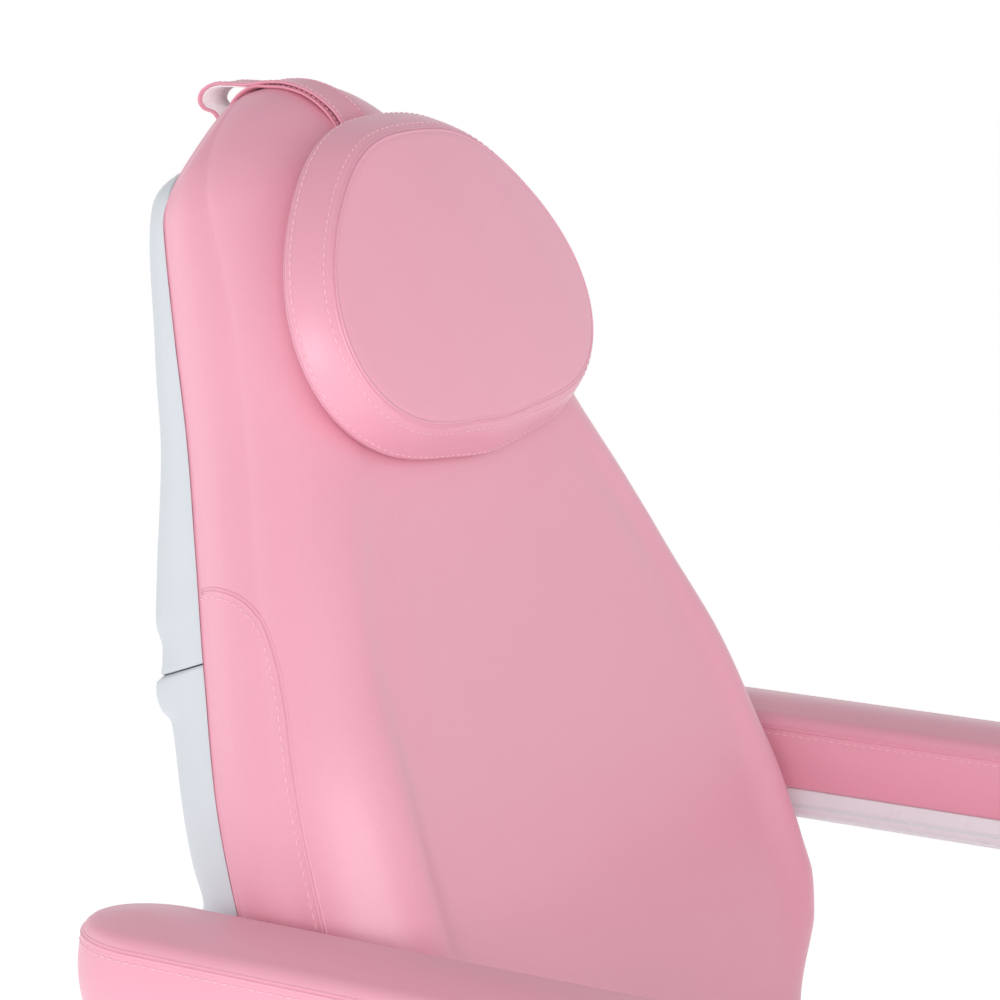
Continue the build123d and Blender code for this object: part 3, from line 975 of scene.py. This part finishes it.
    def rim(self) -> list[int]:
        """Vertex numbers round the edge of the upper face, anticlockwise seen from above."""
        columns, rows = self.columns, self.rows
        near = list(range(columns))
        right = [row * columns + columns - 1 for row in range(1, rows)]
        far = [(rows - 1) * columns + column for column in range(columns - 2, -1, -1)]
        left = [row * columns for row in range(rows - 2, 0, -1)]
        return near + right + far + left

    def around(self, height: float) -> list[Vector]:
        """A loop round the side wall at one height."""
        return [self.slope.place(x, at, height) for x, at in self.outline.loop(160)]


def round_off(inside: np.ndarray, reach: np.ndarray | float) -> np.ndarray:
    """Quarter-round fall towards an outline: 0 from reach inwards, 1 on the outline."""
    left = 1 - np.clip(inside / reach, 0, 1)
    return 1 - np.sqrt(1 - left**2)


# ------------------------------------------------------------------ the back
PILLOW_AT = 0.6848  # distance of the pillow's middle from the hinge
BACK_FACE = 0.075  # height of the cushion's upper face over the hinge's plane
BACK_BASE = -0.0327  # height of its underside
SHELL_RIM = BACK_BASE + 0.0035  # height of the shells' rims, which lap over the cushion's foot
SHELL_JOINT = 0.488  # distance of the joint between the shells from the hinge
# Distances from the back's hinge, each with a half width.
BACK_OUTLINE = Outline(
    ((0.021, 0.205), (0.07, 0.236), (0.118, 0.279), (0.171, 0.301), (0.25, 0.305), (0.32, 0.297),
     (0.38, 0.286), (0.481, 0.250), (0.564, 0.216), (0.639, 0.186), (0.709, 0.163), (0.777, 0.139),
     (0.82, 0.121), (0.845, 0.108), (0.8725, 0.098)), (0.03, 0.085))
BOARD_OUTLINE = Outline(
    (*(point for point in BACK_OUTLINE.sides if point[0] < 0.790), (0.790, 0.134)), (0.04, 0.05))
# Distances from the back's hinge, each with the shell's depth behind its rim.
UPPER_SHELL = ((0.4885, 0.0735), (0.495, 0.0715), (0.506, 0.0700), (0.523, 0.075), (0.55, 0.072),
               (0.605, 0.0625), (0.645, 0.056), (0.687, 0.0525), (0.728, 0.048), (0.771, 0.045),
               (0.795, 0.042), (0.812, 0.040), (0.821, 0.037), (0.826, 0.028), (0.829, 0.005))
LOWER_SHELL = ((0.081, 0.050), (0.16, 0.060), (0.30, 0.064), (0.322, 0.064), (0.335, 0.0595),
               (0.36, 0.0625), (0.43, 0.0640), (0.455, 0.0665), (0.466, 0.0765), (0.477, 0.0800),
               (0.4845, 0.0785), (0.4872, 0.070))
# Each pair of screws: place across the back and distance from the hinge.
SHELL_SCREWS = ((0.055, 0.795), (0.095, 0.560), (0.150, 0.440), (0.210, 0.250), (0.190, 0.110))
# Radius and height of a domed, recessed head's rings.
SCREW_HEAD = ((0.0049, -0.001), (0.0050, 0.0004), (0.0044, 0.0014), (0.0030, 0.0021),
              (0.0016, 0.0023), (0.0014, 0.0012), (0.0004, 0.0011))
# Cosine terms of the pillow's outline, then share of its height and inset up its side.
PILLOW_SERIES = (0.1379, 0.0074, -0.0302, 0.0069, 0.0031, -0.0037)
PILLOW_GUSSET = ((0.0, 0.000), (0.06, -0.0115), (0.14, -0.0165), (0.30, -0.0185), (0.55, -0.0140),
                 (0.80, -0.0070), (0.94, -0.0014), (1.0, 0.0020))
# Middle lines of the straps: distance from the hinge and height over its plane.
STRAP_ROUTES = {
    "strap_under": ((0.790, 0.0735), (0.813, 0.0690), (0.836, 0.0620), (0.853, 0.0500),
                    (0.8640, 0.0350), (0.8700, 0.0210), (0.8745, 0.0080), (0.8730, -0.0060),
                    (0.8650, -0.0190), (0.8500, -0.0300), (0.8350, -0.0360), (0.8180, -0.0420)),
    "strap_over": ((0.790, 0.0800), (0.812, 0.0745), (0.832, 0.0695), (0.846, 0.0612),
                   (0.857, 0.0512), (0.867, 0.0372), (0.8735, 0.0210), (0.8775, 0.0040),
                   (0.8836, -0.0110), (0.8880, -0.0240), (0.8868, -0.0350), (0.8810, -0.0405),
                   (0.8740, -0.0385), (0.8690, -0.0320), (0.8620, -0.0290)),
}
STRAP_STITCH = 0.0045  # pitch of the straps' stitches
STRAP_HEM = 0.0042  # distance of the straps' stitches from their edges
PANEL_STITCH = 0.0052  # distance of the side panels' stitches from their seams


@dataclass
class Back:
    """The reclining back: cushion, side panels, shells, pillow and straps.

    Attributes:
        upholstery: Cover material.
        webbing: Strap material.
        thread: Thread material.
        pile: Material of the straps' inner face.
        shell: Material of the moulded shells.
        steel: Material of the screws.
        ply: Material of the board.
        stitcher: Tree that lays the stitches.
        strap_at: Place of the straps across the back.
        strap_half: Half width of a strap.
        strap_thick: Half thickness of a strap.
        fold: Distance from the hinge and place of the bolster's inner foot.
        shoulder: Distances from the hinge between which the relief fades out.
        panel_seam: Distance from the hinge and height of the side panel's seam.
    """

    upholstery: bpy.types.Material
    webbing: bpy.types.Material
    thread: bpy.types.Material
    pile: bpy.types.Material
    shell: bpy.types.Material
    steel: bpy.types.Material
    ply: bpy.types.Material
    stitcher: StitchTree
    strap_at: float = -0.0135
    strap_half: float = 0.0185
    strap_thick: float = 0.0011
    fold: Sequence[Point] = ((0.02, 0.205), (0.10, 0.215), (0.20, 0.240), (0.29, 0.246),
                             (0.36, 0.240), (0.425, 0.234), (0.49, 0.216), (0.53, 0.194),
                             (0.57, 0.172))
    shoulder: Point = (0.47, 0.60)
    panel_seam: Sequence[Point] = ((0.536, -0.030), (0.532, -0.012), (0.521, 0.008),
                                   (0.505, 0.021), (0.482, 0.029), (0.449, 0.034),
                                   (0.411, 0.035), (0.353, 0.035), (0.25, 0.035), (0.15, 0.034),
                                   (0.08, 0.030), (0.040, 0.022))

    def relief(self, x: np.ndarray, at: np.ndarray) -> np.ndarray:
        """Bolsters down both sides below the shoulders, and the hollow between them."""
        foot = smooth_line(self.fold)(at)
        below = 1 - ease(at, *self.shoulder)
        gentle = 0.009 * ease(x, 0.110, foot + 0.05)
        steep = 0.020 * ease(x, foot - 0.028, foot + 0.045)
        fold = 0.005 * hump(x, foot - 0.030, 0.022) * ease(at, 0.32, 0.50)
        hollow = 0.003 * (1 - ease(x, 0.03, 0.16))
        return (gentle + steep - hollow - fold) * below

    def make_cushion(self) -> None:
        """Builds the cushion with its side panels' seams."""
        pad = Pad("back_upholstery", "back_cushion", "back", BACK_SLOPE, BACK_OUTLINE, BACK_BASE,
                  BACK_FACE, 0.056, crown=0.003, relief=self.relief,
                  nose=Nose(reach=0.092, drop=0.070, under=0.050, start=0.70), rows=190)
        cushion = pad.build()
        surface = Surface(cushion)
        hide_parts("back_cushion")
        dress(cushion, self.upholstery, "back")
        sewing = Sewing("back", self.stitcher)
        for sign in (-1, 1):
            points = []
            for at, height in self.panel_seam:
                across = float(BACK_OUTLINE.half(at)) + pad.bulge
                points.append(BACK_SLOPE.place(sign * across, at, height))
            sewing.seam(surface, smooth_route(points), False, (PANEL_STITCH * sign,))
        sewing.finish(self.upholstery, self.thread)

    def make_board(self) -> None:
        """Builds the plywood board, which stops below the cushion's rounded top end."""
        middle, low = 0.4, BACK_BASE - 0.0003
        rings = []
        for inset, height in ((0.0145, 0.0), (0.014, 0.0005), (0.014, 0.0115), (0.0145, 0.012)):
            narrow, short = 1 - inset / 0.2, 1 - inset / 0.39
            rings.append([BACK_SLOPE.place(x * narrow, middle + (at - middle) * short, low + height)
                          for x, at in BOARD_OUTLINE.loop(120)])
        board = loft("back_board_ply", rings)
        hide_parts("back_board")
        dress(board, self.ply, "back")

    def make_screws(self) -> None:
        """Builds the domed screw heads of the shells."""
        upper, lower = smooth_line(UPPER_SHELL), smooth_line(LOWER_SHELL)
        turns = [2 * math.pi * step / 12 for step in range(12)]
        heads = []
        for across, at in SHELL_SCREWS:
            face = SHELL_RIM - float((upper if at > SHELL_JOINT else lower)(at))
            for sign in (-1, 1):
                rings = [[BACK_SLOPE.place(sign * across + radius * math.cos(turn),
                                           at + radius * math.sin(turn), face - height)
                          for turn in turns] for radius, height in SCREW_HEAD]
                heads.append(loft("screw_head", rings))
        screws = joined("back_shell_screw_heads", heads)
        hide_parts("back_shell_screws")
        dress(screws, self.steel, "back")

    def make_shell(self, name: str, depths: Sequence[Point], corner: float) -> None:
        """Builds one moulded shell behind the cushion.

        Args:
            name: CAD node that it stands for.
            depths: Distance from the hinge and depth behind the cushion.
            corner: Rounding of its plan corners at the far end.
        """
        columns, rows, rise, margin = 90, 150, 0.052, 0.0022
        depth = smooth_line(depths)
        last = depths[-1][0]
        vertices = []
        for at in np.linspace(depths[0][0], last, rows):
            into = max(corner - (last - at), 0.0)
            half = float(BACK_OUTLINE.half(at)) - margin - (corner - math.sqrt(corner**2 - into**2))
            for x in half * sine_steps(columns):
                gap = min((half - abs(x)) / rise, 1.0)
                deep = float(depth(at)) * math.sqrt(max(1 - (1 - gap) ** 2, 0))
                vertices.append(BACK_SLOPE.place(x, at, SHELL_RIM - deep))
        faces = []
        for start in range(0, (rows - 1) * columns, columns):
            faces += [face[::-1] for face in ring_faces(start, start + columns, columns, False)]
        shell = make_piece(f"{name}_cover", vertices, faces)
        wall = shell.modifiers.new("wall", "SOLIDIFY")
        wall.thickness, wall.offset = 0.003, -1.0
        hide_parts(name)
        dress(shell, self.shell, "back")

    def pillow_ring(self, inset: float, height: float, share: float = 1.0) -> list[Vector]:
        """One closed ring of the pillow.

        Args:
            inset: Distance inside the pillow's outline.
            height: Height over the hinge's plane.
            share: Scale of the ring about the pillow's middle.

        Returns:
            The ring.
        """
        points = []
        for angle in np.linspace(0, 2 * math.pi, 200, endpoint=False):
            terms = [size * math.cos(order * angle) for order, size in enumerate(PILLOW_SERIES)]
            radius = (sum(terms) - inset) * share
            points.append(BACK_SLOPE.place(radius * math.sin(angle),
                                           PILLOW_AT + radius * math.cos(angle), height))
        return points

    def make_pillow(self) -> None:
        """Builds the head pillow with its front and rear seams."""
        low, high, crown = BACK_FACE + 0.0008, BACK_FACE + 0.0350, 0.008
        ring = self.pillow_ring
        rings = [ring(0.004, low, share) for share in (0.02, 0.3, 0.6, 0.85, 1.0)]
        gusset = smooth_line(PILLOW_GUSSET)
        for step in range(1, 33):
            t = step / 32
            lift = t - 0.02 * math.sin(math.pi * t)
            rings.append(ring(float(gusset(t)), low + (high - low) * lift))
        for step in range(1, 30):
            share = (1 - step / 29.5) ** 0.9
            rings.append(ring(0.002, high + 0.0012 + crown * (1 - share**2.2), share))
        pillow = loft("head_pillow_cover", rings)
        surface = Surface(pillow)
        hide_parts("head_pillow")
        dress(pillow, self.upholstery, "pillow")
        sewing = Sewing("pillow", self.stitcher)
        sewing.seam(surface, ring(0.0018, high), True, (0.0072,))
        sewing.seam(surface, ring(-0.0185, low + 0.0070), True, (-0.0052,))
        sewing.finish(self.upholstery, self.thread)

    def make_strap(self, name: str, route: Sequence[Point]) -> None:
        """Builds one strap with bound edges and stitches, and pile inside the one that loops free.

        Args:
            name: CAD node that it stands for.
            route: Distance from the hinge and height of its middle line.
        """
        middle = [BACK_SLOPE.place(self.strap_at, at, height) for at, height in route]
        points = even(smooth_route(middle), False, 0.0025)
        across = Vector((1, 0, 0))
        normals = [across.cross(way).normalized() for way in along(points, False)]
        half, thick = self.strap_half, self.strap_thick
        right = [(0.0, 0.85), (0.008, 0.9), (half - 0.005, 1.0), (half - 0.002, 1.25), (half, 0.8),
                 (half, 0.0), (half - 0.002, -1.0), (0.0, -1.0)]
        left = [(-x, share) for x, share in right[-2:0:-1]]
        profile = [(x, share * thick) for x, share in (*right, *left)]
        band = sweep(f"{name}_band", points, normals, profile, False)
        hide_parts(name)
        dress(band, self.webbing, "back")
        rows = []
        for side in (STRAP_HEM - half, half - STRAP_HEM):
            line = [point + across * side + normal * thick
                    for point, normal in zip(points, normals)]
            rows.append(self.stitcher.row(f"{name}_row", line, normals, False, STRAP_STITCH))
        dress(joined(f"{name}_stitches", rows), self.thread, "back")
        if name == "strap_over":
            start, edge = int(len(points) * 0.60), half - 0.003
            high, low = -thick - 0.0001, -thick - 0.0012
            patch = [(-edge, high), (-edge, low), (edge, low), (edge, high)]
            pile = sweep("strap_over_pile", points[start:], normals[start:], patch, False)
            dress(pile, self.pile, "back")

    def build(self) -> None:
        """Builds everything that the back carries."""
        self.make_cushion()
        self.make_board()
        self.make_shell("back_shell_upper", UPPER_SHELL, 0.020)
        self.make_shell("back_shell_lower", LOWER_SHELL, 0.0)
        self.make_screws()
        self.make_pillow()
        for name, route in STRAP_ROUTES.items():
            self.make_strap(name, route)


def smooth_route(points: Sequence[Vector], steps: int = 12) -> list[Vector]:
    """Rounds a route of points with a smooth spline through them."""
    result = []
    padded = [points[0] * 2 - points[1], *points, points[-1] * 2 - points[-2]]
    for a, b, c, d in zip(padded, padded[1:], padded[2:], padded[3:]):
        for step in range(steps):
            t = step / steps
            result.append(0.5 * (2 * b + (c - a) * t + (2 * a - 5 * b + 4 * c - d) * t**2
                                 + (3 * b - a - 3 * c + d) * t**3))
    return [*result, points[-1]]


# ------------------------------------------------------------------ seat and leg rest
@dataclass
class SeatPads:
    """The seat cushion and the leg rest's cushion.

    Attributes:
        upholstery: Cover material.
        thread: Thread material.
        stitcher: Tree that lays the stitches.
        edge: Rounding of the cushions' upper edges.
        crown: How far their middles stand up.
    """

    upholstery: bpy.types.Material
    thread: bpy.types.Material
    stitcher: StitchTree
    edge: float = 0.030
    crown: float = 0.008

    def pads(self) -> tuple[Pad, Pad]:
        """The seat's and the leg rest's cushions."""
        half, width = (SEAT_HIGH.y - SEAT_LOW.y) / 2, SEAT_HIGH.x
        seat = Outline(((-half, width), (-0.1, width), (0.1, width), (half, width)), (0.05, 0.05))
        leg = Outline(((-0.508, 0.285), (-0.4, 0.290), (-0.1, 0.290), (-0.008, 0.290)),
                      (0.075, 0.05))
        return (Pad("seat_upholstery", "seat_cushion", "seat", SEAT_SLOPE, seat, 0.0003,
                    SEAT_HIGH.z - SEAT_LOW.z, self.edge, self.crown, self.seat_relief),
                Pad("leg_upholstery", "leg_cushion", "leg_rest", LEG_SLOPE, leg, 0.0143,
                    0.122, self.edge, self.crown, self.leg_relief))

    def build(self) -> None:
        """Builds both cushions with their border seams."""
        for pad in self.pads():
            cushion = pad.build()
            surface = Surface(cushion)
            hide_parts(pad.node)
            dress(cushion, self.upholstery, pad.body)
            sewing = Sewing(pad.body, self.stitcher)
            border = pad.around(pad.high - pad.edge * 0.75)
            sewing.seam(surface, border, True, (0.0065, -0.0065))
            sewing.finish(self.upholstery, self.thread)

    def seat_relief(self, x: np.ndarray, _at: np.ndarray) -> np.ndarray:
        """Raised sides of the seat and the hollow between them, the same along its length."""
        return 0.010 * ease(x, 0.17, 0.25) - 0.006 * (1 - ease(x, 0.08, 0.2))

    def leg_relief(self, x: np.ndarray, at: np.ndarray) -> np.ndarray:
        """Shallow trough down the middle of the leg rest."""
        return -0.008 * (1 - ease(x, 0.05, 0.22)) * ease(-at, 0.02, 0.12)


# ------------------------------------------------------------------ armrests
@dataclass
class Armrest:
    """One armrest: sewn pad on a two-band rail.

    Attributes:
        side: "left" or "right".
        upholstery: Cover material.
        thread: Thread material.
        metal: Rail material.
        stitcher: Tree that lays the stitches.
        rear_short: How far the cover stops short of the armrest's room at the rear.
        rear_reach: Length of the rounded rear end.
        edge: Rounding of the pad's upper edge.
        spine: Inset of the pad's innermost ring.
    """

    side: str
    upholstery: bpy.types.Material
    thread: bpy.types.Material
    metal: bpy.types.Material
    stitcher: StitchTree
    rear_short: float = 0.012
    rear_reach: float = 0.062
    edge: float = 0.0145
    spine: float = 0.0428

    @property
    def body(self) -> str:
        """Body that the armrest is."""
        return f"armrest_{self.side}"

    def ring(self, inset: float, height: float, arc: int = 64, straight: int = 50) -> list[Vector]:
        """A stadium ring round the armrest at one height.

        Args:
            inset: Distance inside the pad's outline.
            height: Height above the floor.
            arc: Points on each end.
            straight: Steps along each side.

        Returns:
            The ring.
        """
        low, high = (Vector(corner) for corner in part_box(f"armrest_pad_{self.side}"))
        middle, full = (low.x + high.x) / 2, (high.x - low.x) / 2
        rear = high.y - self.rear_short - self.rear_reach
        ends = []
        for centre, reach, start in ((rear, self.rear_reach, 0.0), (low.y + full, full, math.pi)):
            wide, deep = max(full - inset, 0.0), max(reach - inset, 0.0)
            angles = [start + math.pi * step / (arc - 1) for step in range(arc)]
            ends.append([Vector((middle + wide * math.cos(angle),
                                 centre + deep * math.sin(angle), height)) for angle in angles])
        points = []
        for end, other in (ends, ends[::-1]):
            points += end
            points += [end[-1].lerp(other[0], step / straight) for step in range(1, straight)]
        return points

    def build(self) -> None:
        """Builds the pad, its seam and the rail."""
        low, high = (Vector(corner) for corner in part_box(f"armrest_pad_{self.side}"))
        top, base, edge = high.z, low.z + 0.0003, self.edge
        foot, shoulder = base + 0.004, top - edge
        rings = [self.ring(inset, base) for inset in (self.spine, 0.03, 0.012, 0.005)]
        rings += [self.ring(0.002, base + 0.0008), self.ring(0.0004, foot)]
        for step in range(1, 12):
            t = step / 12
            swell = 0.0022 * math.sin(math.pi * t)
            rings.append(self.ring(-swell, foot + (shoulder - foot) * t))
        for degrees in range(0, 91, 15):
            turn = math.radians(degrees)
            rings.append(self.ring(edge * (1 - math.cos(turn)),
                                   shoulder + edge * math.sin(turn) - 0.001))
        for step in range(1, 9):
            t = step / 8
            crown = 0.0035 * math.sin(math.pi / 2 * t)
            rings.append(self.ring(edge + (self.spine - edge) * t, top - 0.001 + crown))
        pad = loft(f"armrest_upholstery_{self.side}", rings)
        surface = Surface(pad)
        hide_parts(f"armrest_pad_{self.side}")
        dress(pad, self.upholstery, self.body)
        sewing = Sewing(self.body, self.stitcher)
        sewing.seam(surface, self.ring(-0.001, top - 0.0096), True, (-0.0062,))
        sewing.finish(self.upholstery, self.thread)
        self.make_rail()

    def make_rail(self) -> None:
        """Builds the rail under the pad: an upright band, a fine groove and a chamfered band."""
        low, high = (Vector(corner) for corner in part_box(f"armrest_rail_{self.side}"))
        top, base = high.z, low.z
        steps = ((0.030, top), (0.0048, top), (0.0042, top - 0.0006), (0.0040, top - 0.0015),
                 (0.0040, top - 0.0120), (0.0046, top - 0.0128), (0.0056, top - 0.0131),
                 (0.0056, top - 0.0143), (0.0046, top - 0.0146), (0.0038, top - 0.0154),
                 (0.0040, base + 0.0080), (0.0052, base + 0.0062), (0.0122, base + 0.0008),
                 (0.0140, base), (0.030, base))
        rings = [self.ring(inset, height) for inset, height in steps]
        rail = loft(f"armrest_rail_cover_{self.side}", rings)
        split = rail.modifiers.new("bands", "EDGE_SPLIT")
        split.split_angle = math.radians(35)
        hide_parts(f"armrest_rail_{self.side}")
        dress(rail, self.metal, self.body)


# ------------------------------------------------------------------ studio
@dataclass(frozen=True)
class Lamp:
    """A soft square light.

    Attributes:
        name: Name of the light.
        place: Where it hangs.
        size: Length of its side.
        power: Power in watts.
        aim: Place that it points at.
    """

    name: str
    place: tuple[float, float, float]
    size: float
    power: float
    aim: tuple[float, float, float] = (0.0, 0.35, 1.0)

    def hang(self) -> None:
        """Adds the light to the scene."""
        data = bpy.data.lights.new(self.name, "AREA")
        data.shape, data.size, data.energy = "SQUARE", self.size, self.power
        light = bpy.data.objects.new(self.name, data)
        light.location = self.place
        way = Vector(self.aim) - Vector(self.place)
        light.rotation_euler = way.to_track_quat("-Z", "Y").to_euler()
        bpy.context.scene.collection.objects.link(light)


@dataclass(frozen=True)
class Studio:
    """Pale floor and backdrop, soft lights and the camera.

    Attributes:
        eye: Camera's place.
        azimuth: Direction of view about the upright axis, in degrees.
        elevation: Camera's angle above the horizontal, in degrees.
        lens: Focal length in millimetres on a 36 mm sensor.
        floor_half: Half length of the floor's side.
        floor_level: Height of the floor, just under the feet.
        lamps: The lights.
    """

    eye: tuple[float, float, float] = (-1.8624, -0.6486, 1.4451)
    azimuth: float = -60.1
    elevation: float = 11.1
    lens: float = 108.0
    floor_half: float = 20.0
    floor_level: float = -0.0005
    lamps: Sequence[Lamp] = (Lamp("key", (-2.6, -0.9, 1.65), 1.4, 32),
                             Lamp("rear", (-1.2, 3.4, 1.9), 2.0, 14),
                             Lamp("fill", (-1.7, -2.9, 1.0), 1.4, 8, (0.3, 0.0, 0.75)))

    def make_camera(self) -> None:
        """Sets the camera."""
        turn, tilt = math.radians(self.azimuth), math.radians(self.elevation)
        backwards = Vector((math.sin(turn) * math.cos(tilt), -math.cos(turn) * math.cos(tilt),
                            math.sin(tilt)))
        data = bpy.data.cameras.new("camera")
        data.lens, data.sensor_width = self.lens, 36.0
        data.clip_end = 60.0
        camera = bpy.data.objects.new("camera", data)
        camera.location = self.eye
        camera.rotation_euler = (-backwards).to_track_quat("-Z", "Y").to_euler()
        bpy.context.scene.collection.objects.link(camera)
        bpy.context.scene.camera = camera

    def make_floor(self, effects: Effects) -> None:
        """Lays the floor."""
        signs = ((-1, -1), (1, -1), (1, 1), (-1, 1))
        corners = [(x * self.floor_half, y * self.floor_half, self.floor_level) for x, y in signs]
        floor = make_piece("studio_floor", corners, [(0, 1, 2, 3)], False)
        paint = Finish("studio_paint", (0.93, 0.93, 0.93), (0.95, 0.95, 0.95), (0.8, 0.9),
                       depth=0.00001, glow=0.46)
        floor.data.materials.append(paint.build(effects))

    def make_world(self) -> None:
        """Sets the backdrop: bright low down and darker overhead."""
        world = bpy.data.worlds.new("studio_air")
        world.use_nodes = True
        graph = Graph(world.node_tree)
        sky = world.node_tree.nodes["Background"]
        place = graph.node("ShaderNodeTexCoord").outputs["Generated"]
        upright = graph.node("ShaderNodeSeparateXYZ", Vector=place)
        fade = graph.node("ShaderNodeMapRange", Value=upright.outputs["Z"], From_Min=0.06,
                          From_Max=0.80, To_Min=1.03, To_Max=0.42)
        graph.link(fade.outputs["Result"], sky.inputs["Strength"])
        sky.inputs["Color"].default_value = WHITE
        bpy.context.scene.world = world

    def build(self, effects: Effects) -> None:
        """Sets the whole studio.

        Args:
            effects: The shared shader groups.
        """
        self.make_camera()
        self.make_floor(effects)
        for lamp in self.lamps:
            lamp.hang()
        self.make_world()
        bpy.context.scene.view_settings.view_transform = "Standard"


def dress_frame(materials: dict[Slot, bpy.types.Material]) -> None:
    """Gives every CAD node the finish of its slot."""
    slots = {part["node"]: Slot(part["material_slot"]) for part in frame["record"]["subparts"]}
    for node, piece in frame["nodes"].items():
        for holder in piece.material_slots:
            holder.material = materials[slots[node]]
    LOG.info("%d frame nodes dressed", len(slots))


def main() -> None:
    """Builds the bed's looks in order."""
    logging.basicConfig(level=logging.INFO, format="%(name)s: %(message)s")
    effects = Effects()
    materials = {slot: finish.build(effects) for slot, finish in FINISHES.items()}
    thread, pile = THREAD.build(effects), PILE.build(effects)
    stitcher = StitchTree(thread)
    Studio().build(effects)
    dress_frame(materials)
    cover = materials[Slot.UPHOLSTERY]
    Back(cover, materials[Slot.WEBBING], thread, pile, materials[Slot.MOULDING],
         materials[Slot.STEEL], materials[Slot.PLYWOOD], stitcher).build()
    SeatPads(cover, thread, stitcher).build()
    for side in ("left", "right"):
        Armrest(side, cover, thread, materials[Slot.RAIL], stitcher).build()


if __name__ == "__main__":
    main()
